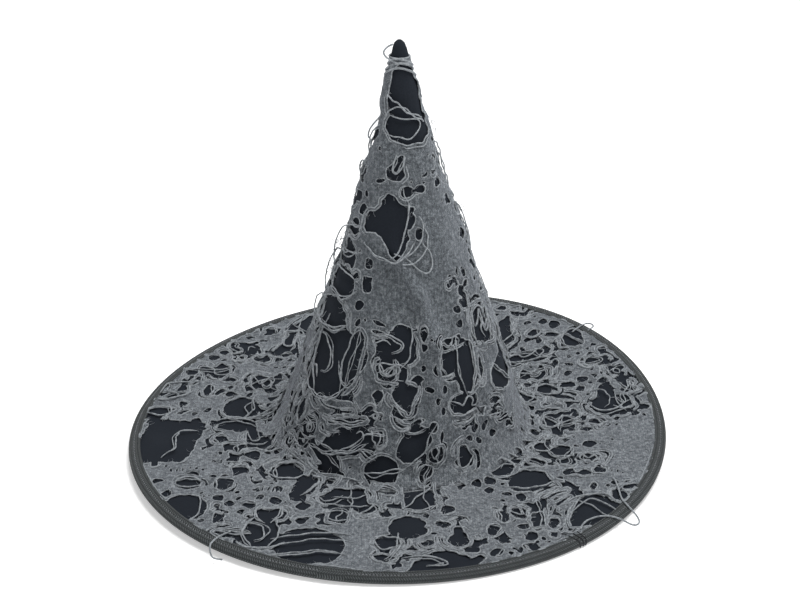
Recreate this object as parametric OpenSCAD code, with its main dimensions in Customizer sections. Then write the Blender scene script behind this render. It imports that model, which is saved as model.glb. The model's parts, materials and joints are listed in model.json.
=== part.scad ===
// Witch hat: a stiffened cloth cone on a flat wired brim, covered with torn knit gauze.
// The hat stands on its brim, the crown's axis is +Z and the wearer faces -Y.

/* [Crown] */
// Radius of the crown cloth where it meets the brim
crown_base_r = 92.8; // [90:0.2:96]
// Radius of the crown cloth at a little under half its height
crown_mid_r = 47.5; // [44:0.5:50]
// Radius of the crown cloth at two thirds of its height
crown_upper_r = 31.5; // [28:0.5:34]
// Radius of the crown cloth just under the bare point
crown_neck_r = 13.5; // [11:0.5:15]
// Radius of the rounded point
crown_tip_r = 3.4; // [3:0.1:4.5]
// Height of the point's shoulder above the surface that the hat stands on
crown_h = 295; // [285:1:305]
// Thickness of the crown cloth, measured level
crown_cloth_t = 1.2; // [0.8:0.1:1.6]
// Thickness of the fused interlining inside the crown
crown_lining_t = 0.6; // [0.4:0.1:0.8]

/* [Head opening] */
// Thickness of the head band ribbon
band_t = 0.7; // [0.5:0.1:0.9]
// Height of the head band's top edge
band_top = 30; // [22:1:40]

/* [Brim] */
// Outer radius of the brim over its binding
brim_r = 200; // [195:1:205]
// Thickness of each cloth of the brim
brim_cloth_t = 1.2; // [1:0.1:1.3]
// Thickness of the stiff layer between the two cloths
brim_stiff_t = 0.8; // [0.6:0.1:0.9]
// Diameter of the wire along the rim
wire_d = 1.8; // [1.4:0.1:2]
// Angle that the wire's two ends leave open at the back
wire_gap = 1; // [0.5:0.1:2]
// Angle that the crimped sleeve covers
sleeve_span = 4; // [3:0.5:6]

/* [Binding] */
// Width of the binding tape on each side of the brim
binding_w = 8.5; // [7:0.5:11]
// Thickness of the binding tape
binding_t = 0.8; // [0.6:0.1:0.9]
// Angle at which the tape's ends lap, counted from +X
lap_at = -102.5; // [-180:0.5:180]
// Angle that the lap covers
lap_span = 5; // [4:0.5:8]
// Thickness of the tape's turned end
lap_t = 0.6; // [0.4:0.1:0.8]
// Angle at which a knotted thread goes round the binding
tack_at = -53.5; // [-180:0.5:180]

/* [Gauze] */
// Thickness of the knit gauze
gauze_t = 0.8; // [0.6:0.1:0.9]
// Height at which the crown's gauze ends, below the bare point
gauze_top = 286; // [280:1:290]

/* [Threads] */
// Distance of the top stitch row from the rim
top_row_in = 4; // [3.5:0.5:6]
// Angle from one binding stitch to the next
stitch_step = 2; // [2:1:6]
// Length of one binding stitch
stitch_l = 4.4; // [3:0.2:5]
// Radius of a sewing thread
thread_r = 0.25; // [0.2:0.05:0.3]
// Diameter of a loose gauze yarn
yarn_d = 1.2; // [0.8:0.1:1.2]

/* [Hidden] */

// Heights in the brim, from the surface that the hat stands on upwards.
under_z = binding_t;
stiff_z = under_z + brim_cloth_t;
top_z = stiff_z + brim_stiff_t;
brim_z = top_z + brim_cloth_t;
gauze_z = brim_z + gauze_t;
edge_h = gauze_z + binding_t;

// The outline of the crown cloth, from the brim up to the point: [radius, height].
mid_at = 0.46;
upper_at = 0.632;
neck_at = 0.852;
function up(part) = brim_z + part * (crown_h - brim_z);
crown_outline = [
    [crown_base_r, brim_z], [crown_mid_r, up(mid_at)], [crown_upper_r, up(upper_at)],
    [crown_neck_r, up(neck_at)], [crown_tip_r, crown_h]
];
function outline_r(z, i = 0) =
    z <= crown_outline[i + 1][1] || i == len(crown_outline) - 2
        ? lookup(z, [
            [crown_outline[i][1], crown_outline[i][0]],
            [crown_outline[i + 1][1], crown_outline[i + 1][0]]
        ])
        : outline_r(z, i + 1);

// The layers of the crown, as how far each face lies inside the cloth's outer face.
lining_out = crown_cloth_t;
lining_in = lining_out + crown_lining_t;
band_in = lining_in + band_t;
lining_top = up(neck_at);
cap_h = 2;
tip_cap_t = 3;

// The crown cloth's raw edge turns down through the brim's opening.
tuck_out = crown_base_r - 0.1;
tuck_in = crown_base_r - lining_in;
opening_r = crown_base_r - band_in;
hem_top = brim_z + 2;

seam_w = 8;
seam_t = 1;
seam_gap = 1.4;
seam_bottom = band_top + 4;
seam_top = up(upper_at);
seam_pitch = 6;
seam_stitch_l = 4;

// The brim's layers stop short of the wire, which lies loose in the binding's fold.
wire_at = brim_r - 2.2;
sleeve_wall = 0.4;
layer_r = wire_at - wire_d / 2 - sleeve_wall - 0.1;
fold_c = brim_r - edge_h / 2;
binding_in = brim_r - binding_w;

top_row_r = brim_r - top_row_in;
under_row_r = binding_in - 0.8;
opening_row_r = crown_base_r + 1.6;
opening_step = 4;
tack_span = 0.35;
tack_t = 0.5;
tack_turns = 3;

yarn_sides = 8;
// Each loose yarn's route, from the gauze that it comes out of to its end.
right_rim_route = [
    [150, -86, 5.8], [151, -89.5, 6], [151.5, -93, 6.2], [151.8, -96.5, 6.2],
    [152, -100, 6.3], [152.2, -103.5, 6.3], [152.3, -107, 6.4], [152.5, -110.5, 6.5],
    [153, -114, 6.7], [154, -117.5, 6.9], [155.3, -121, 7], [156.8, -124.3, 6.8],
    [158.4, -127.4, 6.3], [160, -130.4, 5.5], [161.3, -133.6, 4.7], [161.5, -137, 4],
    [159.4, -139.6, 3.8], [156.2, -140, 4.3], [153, -138.6, 5.2], [149.8, -136.8, 6.2],
    [146.5, -135.2, 6.8], [143, -134, 7], [139.5, -133.2, 6.9], [136, -133, 6.7],
    [132.5, -133.6, 6.5], [129.2, -135, 6.3], [126.2, -137, 6.2], [123.8, -139.8, 6.2],
    [122, -143, 6], [120.8, -146.4, 5.8]
];
left_rim_route = [
    [-108.4, -148, 5.8], [-111, -150.4, 6.2], [-113.4, -153, 6.5], [-115.5, -155.8, 6.7],
    [-117.3, -158.9, 6.9], [-118.8, -162.2, 6.9], [-119.3, -165.6, 6.1],
    [-118.8, -168.2, 3.9], [-117.6, -169.6, 1.4], [-114.6, -170.8, 0.9],
    [-111.2, -171.6, 0.9]
];
back_rim_route = [
    [140, 118, 5.8], [142.4, 120.5, 6.1], [144.8, 123, 6.4], [147.4, 125.5, 6.6],
    [150.2, 127.8, 6.7], [153.2, 129.6, 6.7], [156.4, 129.5, 6.4], [158.2, 126.8, 6.2],
    [157.6, 123.5, 6.6], [155.4, 120.8, 6.6], [153, 118.2, 6.4]
];
tip_route = [
    [6.8, -1.8, 278], [6.9, -4, 280.2], [4.9, -6.1, 281.6], [2, -7, 282.4],
    [-1.1, -7.1, 283], [-4, -6.1, 283.8], [-6.6, -4.6, 284.8], [-9.1, -3, 286.2],
    [-10.6, -1.6, 288.6], [-9.2, -1, 291.2], [-6.9, -0.8, 293], [-4.3, -0.8, 294.2]
];

// A layer of the crown: between two faces that lie in_by and out_by inside the cloth's face.
module crown_layer(out_by, in_by, bottom, top) {
    heights = concat(
        [bottom], [for (p = crown_outline) if (p[1] > bottom && p[1] < top) p[1]], [top]
    );
    last = len(heights) - 1;
    rotate_extrude($fn = 180)
        polygon(concat(
            [for (z = heights) [outline_r(z) - out_by, z]],
            [for (i = [last:-1:0]) [outline_r(heights[i]) - in_by, heights[i]]]
        ));
}

// A flat ring of the brim.
module brim_ring(inner, outer, z, t) {
    translate([0, 0, z])
        difference() {
            cylinder(r = outer, h = t, $fn = 180);
            translate([0, 0, -1]) cylinder(r = inner, h = t + 2, $fn = 180);
        }
}

// The tape's cross-section round the rim: a flat stack with a round outer edge.
module fold_section(skin) {
    half = edge_h / 2 - binding_t + skin;
    translate([binding_in, edge_h / 2 - half]) square([fold_c - binding_in, 2 * half]);
    translate([fold_c, edge_h / 2]) circle(r = half, $fn = 48);
}

// One straight stitch of thread, lying level and square to its radius.
module stitch(at, r, z, length) {
    rotate([0, 0, at]) translate([r, length / 2, z])
        rotate([90, 0, 0]) cylinder(r = thread_r, h = length, $fn = 16);
}

// A yarn: rings of points along its route, joined into one closed tube.
// The guide is a direction that the route never runs along: each ring starts square to it.
function unit(v) = v / norm(v);
function heading(route, i) =
    unit(route[min(i + 1, len(route) - 1)] - route[max(i - 1, 0)]);
module yarn(route, guide) {
    n = yarn_sides;
    rings = len(route);
    points = [
        for (i = [0:rings - 1])
            let (
                along = heading(route, i), side = unit(cross(along, guide)),
                over = cross(side, along)
            )
            for (k = [0:n - 1])
                let (a = 360 * k / n)
                route[i] + yarn_d / 2 * (cos(a) * side + sin(a) * over)
    ];
    walls = [
        for (i = [0:rings - 2], k = [0:n - 1])
            let (a = i * n + k, b = i * n + (k + 1) % n)
            each [[a, a + n, b + n], [a, b + n, b]]
    ];
    ends = [
        [for (k = [0:n - 1]) k],
        [for (k = [n - 1:-1:0]) (rings - 1) * n + k]
    ];
    color("slategray")
        polyhedron(points = points, faces = concat(walls, ends), convexity = 6);
}

module crown_cloth() {
    color([0.05, 0.06, 0.08]) {
        crown_layer(0, lining_out, brim_z, crown_h - tip_cap_t);
        // Closed point
        rotate_extrude($fn = 96)
            polygon([
                [0, crown_h - tip_cap_t], [outline_r(crown_h - tip_cap_t), crown_h - tip_cap_t],
                [crown_tip_r, crown_h], [crown_tip_r / 2, crown_h + cap_h], [0, crown_h + cap_h]
            ]);
        // Raw edge turned down through the opening
        rotate_extrude($fn = 180)
            polygon([
                [tuck_in, under_z], [tuck_out, under_z], [tuck_out, brim_z],
                [crown_base_r - lining_out, brim_z], [tuck_in, brim_z]
            ]);
    }
}

module crown_interlining() {
    color([0.12, 0.12, 0.13]) crown_layer(lining_out, lining_in, brim_z, lining_top);
}

// The two turned-back edges of the crown panel, down the inside of the back.
module crown_back_seam() {
    color([0.06, 0.07, 0.09])
        for (side = [0, 1])
            mirror([side, 0, 0])
                intersection() {
                    crown_layer(lining_in, lining_in + seam_t, seam_bottom, seam_top);
                    translate([seam_gap / 2, 0, 0]) cube([seam_w, brim_r, crown_h]);
                }
}

module crown_seam_stitches() {
    color([0.02, 0.02, 0.02])
        for (z = [seam_bottom + seam_pitch:seam_pitch:seam_top - seam_pitch])
            translate([0, outline_r(z) - lining_in - thread_r - 0.35, z])
                rotate([seam_lean(z), 0, 0])
                    cylinder(r = thread_r, h = seam_stitch_l, center = true, $fn = 16);
}
function seam_lean(z) = atan((outline_r(z - 1) - outline_r(z + 1)) / 2);

module head_band() {
    color([0.04, 0.04, 0.05]) {
        rotate_extrude($fn = 180)
            polygon([
                [opening_r, under_z], [tuck_in, under_z], [tuck_in, brim_z],
                [outline_r(hem_top) - lining_in, hem_top], [opening_r, hem_top]
            ]);
        rotate_extrude($fn = 180)
            polygon([
                [opening_r, hem_top], [outline_r(hem_top) - lining_in, hem_top],
                [outline_r(band_top) - lining_in, band_top],
                [outline_r(band_top) - band_in, band_top],
                [outline_r(hem_top) - band_in, hem_top]
            ]);
    }
}

module opening_stitches() {
    color([0.02, 0.02, 0.02])
        for (at = [0:opening_step:359])
            stitch(at, opening_row_r, under_z - thread_r, stitch_l);
}

module brim_top_cloth() {
    color([0.05, 0.06, 0.08]) brim_ring(crown_base_r, layer_r, top_z, brim_cloth_t);
}

module brim_stiffener() {
    color([0.15, 0.15, 0.16]) brim_ring(crown_base_r, layer_r, stiff_z, brim_stiff_t);
}

module brim_under_cloth() {
    color([0.05, 0.06, 0.08]) brim_ring(crown_base_r, layer_r, under_z, brim_cloth_t);
}

module rim_ring(inner_d, outer_d, from, span) {
    rotate([0, 0, from])
        rotate_extrude(angle = span, $fn = 180)
            translate([wire_at, edge_h / 2])
                difference() {
                    circle(d = outer_d, $fn = 32);
                    if (inner_d > 0) circle(d = inner_d, $fn = 32);
                }
}

module brim_wire() {
    color("silver") rim_ring(0, wire_d, 90 + wire_gap / 2, 360 - wire_gap);
}

module brim_wire_sleeve() {
    color("gray")
        rim_ring(wire_d, wire_d + 2 * sleeve_wall, 90 - sleeve_span / 2, sleeve_span);
}

module edge_binding() {
    color([0.27, 0.3, 0.3])
        rotate_extrude($fn = 240)
            difference() {
                fold_section(binding_t);
                fold_section(0);
            }
}

// A layer over the binding's top and outer edge, as thick as skin, over a short angle.
module over_binding(at, span, skin) {
    rotate([0, 0, at - span / 2])
        rotate_extrude(angle = span, $fn = 240)
            difference() {
                intersection() {
                    fold_section(binding_t + skin);
                    translate([0, edge_h / 2]) square([2 * brim_r, edge_h]);
                }
                fold_section(binding_t);
            }
}

module binding_lap() {
    color([0.24, 0.27, 0.27]) over_binding(lap_at, lap_span, lap_t);
}

module binding_tack() {
    color([0.05, 0.05, 0.05])
        for (turn = [0:tack_turns - 1])
            over_binding(tack_at + 2 * turn * tack_span, tack_span, tack_t);
}

module binding_row(r, z) {
    color([0.6, 0.62, 0.64])
        for (at = [0:stitch_step:359]) {
            past_lap = abs(at - 360 - lap_at) > lap_span;
            past_tack = abs(at - 360 - tack_at) > 2 * tack_turns * tack_span;
            if (past_lap && past_tack) stitch(at, r, z, stitch_l);
        }
}

module binding_top_stitches() {
    binding_row(top_row_r, edge_h + thread_r);
}

module binding_under_stitches() {
    binding_row(under_row_r, under_z - thread_r);
}

module crown_gauze() {
    color([0.45, 0.47, 0.5]) crown_layer(-gauze_t, 0, gauze_z, gauze_top);
}

module brim_gauze() {
    color([0.45, 0.47, 0.5]) brim_ring(crown_base_r, layer_r, brim_z, gauze_t);
}

module loose_yarn_right_rim() { yarn(right_rim_route, [0, 0, 1]); }
module loose_yarn_left_rim() { yarn(left_rim_route, [0.5, 0.8, 0.3]); }
module loose_yarn_back_rim() { yarn(back_rim_route, [0, 0, 1]); }
module loose_yarn_tip() { yarn(tip_route, [0, 1, 0]); }

crown_cloth();
crown_interlining();
crown_back_seam();
crown_seam_stitches();
head_band();
opening_stitches();
brim_top_cloth();
brim_stiffener();
brim_under_cloth();
brim_wire();
brim_wire_sleeve();
edge_binding();
binding_lap();
binding_tack();
binding_top_stitches();
binding_under_stitches();
crown_gauze();
brim_gauze();
loose_yarn_right_rim();
loose_yarn_left_rim();
loose_yarn_back_rim();
loose_yarn_tip();
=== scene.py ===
"""Witch hat: the visible cloth, torn gauze, tape, stitches and yarns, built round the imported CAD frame.

All shapes are worked out in millimetres and turned into metres when a mesh is made. The brim's
pieces are laid out on a flat brim and then settled onto its gently waved rim. The crown's gauze is
laid out on the cone's flat cut, a sector whose straight edges meet at the back.
"""
import json
import math

import bpy
import numpy as np
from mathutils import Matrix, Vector
from mathutils.geometry import delaunay_2d_cdt
from mathutils.kdtree import KDTree


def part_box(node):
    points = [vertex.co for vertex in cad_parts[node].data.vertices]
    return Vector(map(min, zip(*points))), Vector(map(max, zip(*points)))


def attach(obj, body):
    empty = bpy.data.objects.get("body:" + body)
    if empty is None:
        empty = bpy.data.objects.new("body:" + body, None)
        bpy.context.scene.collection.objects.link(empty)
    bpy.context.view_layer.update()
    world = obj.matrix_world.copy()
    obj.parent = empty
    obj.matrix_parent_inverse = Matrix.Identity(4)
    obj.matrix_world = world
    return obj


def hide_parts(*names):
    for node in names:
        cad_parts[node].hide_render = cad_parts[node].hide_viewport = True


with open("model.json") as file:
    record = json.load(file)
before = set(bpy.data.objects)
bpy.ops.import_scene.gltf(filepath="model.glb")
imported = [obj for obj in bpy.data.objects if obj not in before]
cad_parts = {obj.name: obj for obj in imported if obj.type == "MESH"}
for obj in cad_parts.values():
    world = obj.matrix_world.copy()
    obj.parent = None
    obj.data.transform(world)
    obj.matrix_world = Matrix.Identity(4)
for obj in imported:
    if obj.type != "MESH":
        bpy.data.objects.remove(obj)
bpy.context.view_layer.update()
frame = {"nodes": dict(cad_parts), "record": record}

MM = 0.001
BODY = "root"
TURN = 2 * math.pi


# ---------------------------------------------------------------- sizes from the frame

def high(node):
    """A CAD node's highest corner, in millimetres."""
    return np.array(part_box(node)[1]) / MM


def low(node):
    """A CAD node's lowest corner, in millimetres."""
    return np.array(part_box(node)[0]) / MM


def mount(name):
    """A mount of the record, by its name."""
    return next(m for m in frame["record"]["mounts"] if m["name"] == name)


RIM_R = high("edge_binding")[0]
EDGE_H = high("edge_binding")[2]
BASE_R = high("crown_cloth")[0]
UNDER_Z = low("brim_under_cloth")[2]
STIFF_Z = low("brim_stiffener")[2]
TOP_Z = low("brim_top_cloth")[2]
BRIM_Z = high("brim_top_cloth")[2]
LAYER_R = high("brim_top_cloth")[0]
TIP_Z = high("crown_cloth")[2]
GAUZE_TOP = high("crown_gauze")[2]
LINING_TOP = high("crown_interlining")[2]
BAND_TOP = high("head_band")[2]
SEAM_LOW = low("crown_back_seam")[2]
SEAM_HIGH = high("crown_back_seam")[2]
OPENING_R = mount("head_opening")["dims"]["r_mm"]
TAPE_T = UNDER_Z
TAPE_W = 8.5                    # this and the next three as in part.scad
CLOTH_T = 1.2
LINING_T = 0.6
YARN_D = 1.2
UP = np.array([0.0, 0.0, 1.0])


def crown_outline():
    """The CAD crown's outer outline, as heights and radii, from its own mesh."""
    mesh = frame["nodes"]["crown_cloth"].data
    points = np.array([v.co for v in mesh.vertices]) / MM
    radii = np.hypot(*points[:, :2].T)
    heights = sorted({round(z, 2) for z in points[:, 2] if z > BRIM_Z - 0.01})
    widest = [radii[abs(points[:, 2] - z) < 0.01].max() for z in heights]
    return np.array(heights), np.array(widest)


OUTLINE_Z, OUTLINE_R = crown_outline()


# ---------------------------------------------------------------- small maths

def smooth(x, start, end):
    """A soft step from 0 at the start to 1 at the end."""
    t = np.clip((x - start) / (end - start), 0, 1)
    return t * t * (3 - 2 * t)


def bump(x, centre, width):
    """A round hill of height 1."""
    return np.exp(-((x - centre) / width) ** 2)


def ripple(q, wave, seed, terms=10):
    """Smooth noise of about unit height on points q, with bumps about one wave apart."""
    rng = np.random.default_rng(seed)
    total = np.zeros(len(q))
    for _ in range(terms):
        way = rng.normal(size=q.shape[1])
        way *= TURN / (wave * rng.uniform(0.7, 1.5) * np.linalg.norm(way))
        total += np.sin(q @ way + rng.uniform(0, TURN))
    return total / math.sqrt(terms / 2)


def apart(a, b):
    """How far angle a is past angle b, in degrees from -180 to 180."""
    return (a - b + 180) % 360 - 180


def reach(q):
    """Distances of flat points from the middle."""
    return np.hypot(q[:, 0], q[:, 1])


def unit(v):
    """Each row at length 1."""
    return v / (np.linalg.norm(v, axis=1)[:, None] + 1e-12)


def catmull(a, b, c, d, t):
    """The Catmull-Rom curve between b and c, at shares t of the way."""
    return 0.5 * (2 * b + (c - a) * t + (2 * a - 5 * b + 4 * c - d) * t ** 2
                  + (3 * b - a - 3 * c + d) * t ** 3)


def spline(points, step):
    """A smooth curve through the points, with a point about every step."""
    p = np.asarray(points, float)
    p = np.vstack([2 * p[0] - p[1], p, 2 * p[-1] - p[-2]])
    out = []
    for a, b, c, d in zip(p[:-3], p[1:-2], p[2:-1], p[3:]):
        n = max(2, int(np.linalg.norm(c - b) / step) + 1)
        out.append(catmull(a, b, c, d, np.linspace(0, 1, n, endpoint=False)[:, None]))
    return np.vstack(out + [p[-2:-1]])


def closed_spline(points, steps):
    """A smooth closed curve through the points."""
    p = np.asarray(points, float)
    t = np.linspace(0, 1, steps, endpoint=False)[:, None]
    around = (np.roll(p, k, 0) for k in (1, 0, -1, -2))
    return np.vstack([catmull(a, b, c, d, t) for a, b, c, d in zip(*around)])


def even_steps(line, step, closed=False):
    """The same line with its points about one step apart."""
    p = np.vstack([line, line[:1]]) if closed else line
    run = np.concatenate([[0], np.cumsum(np.linalg.norm(np.diff(p, axis=0), axis=1))])
    n = max(6 if closed else 3, int(run[-1] / step) + 1)
    at = np.linspace(0, run[-1], n, endpoint=not closed)
    return np.stack([np.interp(at, run, p[:, k]) for k in range(p.shape[1])], -1)


def heading(line, closed=False):
    """Unit vectors along a line."""
    if closed:
        return unit(np.roll(line, -1, 0) - np.roll(line, 1, 0))
    return unit(np.gradient(line, axis=0))


def sideways(line, closed=False):
    """Unit vectors square to a flat line, to its right."""
    along = heading(line, closed)
    return np.stack([along[:, 1], -along[:, 0]], -1)


def turned(p, degrees):
    """Flat points turned about the origin, against the clock."""
    a = math.radians(degrees)
    return p @ np.array([[math.cos(a), math.sin(a)], [-math.sin(a), math.cos(a)]])


def inside(points, polygon):
    """Which of the points lie in the closed polygon."""
    found = np.zeros(len(points), bool)
    lo, hi = polygon.min(0), polygon.max(0)
    near = np.where(((points >= lo) & (points <= hi)).all(1))[0]
    if not len(near):
        return found
    x, y = points[near, 0][:, None], points[near, 1][:, None]
    a, b = polygon, np.roll(polygon, -1, 0)
    crosses = (a[:, 1] > y) != (b[:, 1] > y)
    run = np.where(a[:, 1] == b[:, 1], 1e-9, b[:, 1] - a[:, 1])
    at = a[:, 0] + (y - a[:, 1]) * (b[:, 0] - a[:, 0]) / run
    found[near] = (crosses & (x < at)).sum(1) % 2 == 1
    return found


# ---------------------------------------------------------------- the hat's surfaces

def settle(x, y, z):
    """A point of the flat brim, moved to where the worn brim lies: waved and a little out of round."""
    r, a = np.hypot(x, y), np.arctan2(y, x)
    share = smooth(r, BASE_R, RIM_R)        # the crown's foot stays level and round
    lift = (4.5 + 2.5 * np.cos(a) + 2.2 * np.sin(a) + 2.5 * np.cos(2 * a)
            + 3.8 * np.sin(2 * a) - 0.7 * np.cos(3 * a) + 0.8 * np.sin(3 * a))
    grow = 1 + share * (0.019 * np.sin(2 * a) - 0.021 * np.cos(2 * a) - 0.018 * np.sin(3 * a))
    return np.stack([x * grow, y * grow, z + share * np.maximum(lift, 0)], -1)


def round_brim(r, a, z):
    """The same for places given by radius and angle in radians."""
    return settle(r * np.cos(a), r * np.sin(a), z)


def outline_r(z):
    """The crown cloth's radius at a height."""
    return np.interp(z, OUTLINE_Z, OUTLINE_R)


def lean(z):
    """How far the cone's middle line stands to the right."""
    bow = 4.2 * np.sin(math.pi * np.minimum(z, 262) / 250) * smooth(z, 0, 20)
    return bow + 2.4 * bump(z, 238, 22) + 0.6 * smooth(z, 250, 270)


# Soft ridges and dents of the crown: (start angle, height), (end angle, height), rise, width.
FOLDS = [
    ((-100, 160), (-80, 132), 3.4, 5),
    ((-80, 132), (-72, 100), 3.8, 6),
    ((-72, 100), (-75, 30), 2.8, 6),
    ((-60, 118), (-62, 150), -1.8, 9),
    ((-96, 118), (-100, 140), -1.4, 10),
    ((-118, 30), (-132, 12), -1.6, 9),
    ((-50, 44), (-42, 26), -1.6, 8),
    ((-98, 196), (-96, 166), -0.7, 3),
    ((35, 40), (60, 120), 2.0, 8),
    ((120, 60), (98, 170), 1.8, 7),
    ((170, 30), (150, 90), -1.5, 9),
]
FOLD_SHARE = 0.64               # what the cloth takes of each fold, and the gauze once more


def fold_rise(angle, z):
    """How far the folds stand out at each place."""
    rise = np.zeros_like(z)
    r = outline_r(z)
    for (a0, z0), (a1, z1), tall, width in FOLDS:
        t = np.clip((z - z0) / (z1 - z0), 0, 1)
        off = np.radians(apart(angle, a0 + (a1 - a0) * t)) * r
        past = np.where((z - z0) * (z - z1) > 0, np.minimum(abs(z - z0), abs(z - z1)), 0)
        rise += tall * bump(np.hypot(off, past), 0, width)
    return rise


def crown_point(angle, z, off):
    """A point off millimetres outside the crown cloth, at an angle in degrees and a height."""
    a = np.radians(angle)
    r0 = outline_r(z)
    spot = np.stack([r0 * np.cos(a), r0 * np.sin(a), z], -1)
    calm = smooth(z, BRIM_Z, 22) * (1 - smooth(z, 285, TIP_Z))
    dents = 0.55 * ripple(spot, 46, 3) + 0.2 * ripple(spot, 17, 4)
    seam = -0.9 * bump(apart(angle, 90) * np.radians(r0), 0, 1.3)
    neck = smooth(z, 244, 262) * (1.5 - 0.8 * smooth(z, 268, 278)) * (1 - smooth(z, 291, TIP_Z))
    r = r0 + off + neck + calm * (dents + FOLD_SHARE * fold_rise(angle, z) + seam)
    return np.stack([r * np.cos(a) + lean(z), r * np.sin(a), z], -1)


# The crown's flat cut is a sector: the cone's slant length by height, its angle and its radius.
SLANT = np.concatenate([[0], np.cumsum(np.hypot(np.diff(OUTLINE_Z), np.diff(OUTLINE_R)))])
CUT_ANGLE = (OUTLINE_R[0] - OUTLINE_R[-3]) / SLANT[-3]
CUT_BASE = OUTLINE_R[0] / CUT_ANGLE


def cut_from(turn, z):
    """Where a place on the crown lies in the flat cut: turn is in degrees from the hat's front."""
    far = CUT_BASE - np.interp(z, OUTLINE_Z, SLANT)
    a = np.radians(turn) * CUT_ANGLE
    return np.stack([far * np.sin(a), -far * np.cos(a)], -1)


def cut_turn(q):
    """How far round the crown a point of the flat cut lies, in degrees from the hat's front."""
    return np.degrees(np.arctan2(q[:, 0], -q[:, 1])) / CUT_ANGLE


def cut_to(q):
    """The angle and height of a point of the flat cut."""
    return cut_turn(q) - 90, np.interp(CUT_BASE - reach(q), SLANT, OUTLINE_Z)


def on_crown(q, height):
    """Points of the crown's flat cut, height above the cloth, and their outward normals."""
    angle, z = cut_to(q)
    extra = np.maximum(FOLD_SHARE * fold_rise(angle, z), -0.15) * smooth(z, BRIM_Z, 22)
    foot = 4.2 + 1.3 * np.sin(np.radians(7 * angle)) * np.sin(np.radians(3 * angle + 50))
    extra = extra + foot * (1 - smooth(z, BRIM_Z, 17))
    a = np.radians(angle)
    out = np.stack([np.cos(a), np.sin(a), np.full(len(q), 0.3)], -1)
    return crown_point(angle, z, height + extra), unit(out)


def brim_dip(q):
    """The brim cloth's own slight unevenness."""
    r = reach(q)
    calm = smooth(r, BASE_R, BASE_R + 12) * (1 - smooth(r, RIM_R - 22, RIM_R - 8))
    return np.maximum(0.45 * ripple(q, 38, 5), -0.7) * calm


def on_brim(q, height):
    """Points of the flat brim, height above the cloth, and their normals. It swells at the crown."""
    swell = 3.6 * (1 - smooth(reach(q), BASE_R, BASE_R + 10))
    return settle(*q.T, BRIM_Z + height + brim_dip(q) + swell), UP


# ---------------------------------------------------------------- meshes

def show(name, data):
    """A new object in the scene."""
    item = bpy.data.objects.new(name, data)
    bpy.context.scene.collection.objects.link(item)
    return item


def make_mesh(name, verts, faces, material):
    """A piece from points in millimetres, riding on the hat's body."""
    mesh = bpy.data.meshes.new(name)
    mesh.from_pydata((np.asarray(verts) * MM).tolist(), [], faces)
    mesh.validate()
    mesh.shade_smooth()
    mesh.materials.append(material)
    piece = show(name, mesh)
    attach(piece, BODY)
    return piece


def grid_faces(rows, cols, wrap_rows=False, wrap_cols=False):
    """Quads of a grid whose rows or columns may close on themselves."""
    r = np.arange(rows if wrap_rows else rows - 1)[:, None]
    c = np.arange(cols if wrap_cols else cols - 1)[None]
    r1, c1 = (r + 1) % rows, (c + 1) % cols
    quads = np.stack([r * cols + c, r * cols + c1, r1 * cols + c1, r1 * cols + c], -1)
    return quads.reshape(-1, 4).tolist()


def rings_about(line, out, radius, sides, closed=False):
    """Points of circles round a line, where out is the surface's normal."""
    along = heading(line, closed)
    side = unit(np.cross(along, out))
    over = np.cross(side, along)
    a = TURN * np.arange(sides)[None, :, None] / sides
    radius = np.broadcast_to(radius, len(line))[:, None, None]
    ring = np.cos(a) * side[:, None] + np.sin(a) * over[:, None]
    return (line[:, None] + radius * ring).reshape(-1, 3)


class Batch:
    """Many small closed shapes gathered into one mesh."""

    def __init__(self):
        self.verts, self.faces, self.count = [], [], 0

    def add(self, verts, faces):
        """One more closed shape, its faces numbered from its own first point."""
        self.verts.append(verts)
        self.faces += [[v + self.count for v in f] for f in faces]
        self.count += len(verts)

    def tube(self, line, out, radius, sides=6, closed=False):
        """A round yarn along a line, where out is the surface's normal at each point."""
        n = len(line)
        if n < 3:
            return
        faces = grid_faces(n, sides, closed, True)
        if not closed:
            faces += [list(range(sides))[::-1], list(range((n - 1) * sides, n * sides))]
        self.add(rings_about(line, out, radius, sides, closed), faces)

    def slab(self, top, under, rows, cols, flip):
        """A grid of points and the grid under it, closed into a solid along their edges."""
        n = rows * cols
        face = grid_faces(rows, cols)
        back = [[v + n for v in f[::-1]] for f in face]
        loop = (list(range(0, n, cols)) + list(range(n - cols + 1, n))
                + list(range(n - cols - 1, 0, -cols)) + list(range(cols - 2, 0, -1)))
        walls = [[a, b, b + n, a + n] for a, b in zip(loop, loop[1:] + loop[:1])]
        faces = face + back + walls
        self.add(np.vstack([top, under]), [f[::-1] for f in faces] if flip else faces)

    def make(self, name, material, stands_for=None):
        """All the shapes as one piece, which may stand for a CAD node."""
        piece = make_mesh(name, np.vstack(self.verts), self.faces, material)
        if stands_for:
            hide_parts(stands_for)
        return piece


def carry(piece, name, values):
    """A number at each point of a piece's mesh, for its material to read."""
    layer = piece.data.attributes.new(name, "FLOAT", "POINT")
    layer.data.foreach_set("value", np.asarray(values, dtype=np.float32))


def swept_ring(name, node, section, place, material, steps):
    """A closed section carried all round, which stands for a CAD node.

    place(angles, first numbers, second numbers) gives the points.
    """
    angles = np.repeat(np.linspace(0, 360, steps, endpoint=False), len(section))
    verts = place(angles, *np.tile(section, (steps, 1)).T)
    ring = make_mesh(name, verts, grid_faces(steps, len(section), True, True), material)
    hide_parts(node)
    return ring


# ---------------------------------------------------------------- materials

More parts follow.
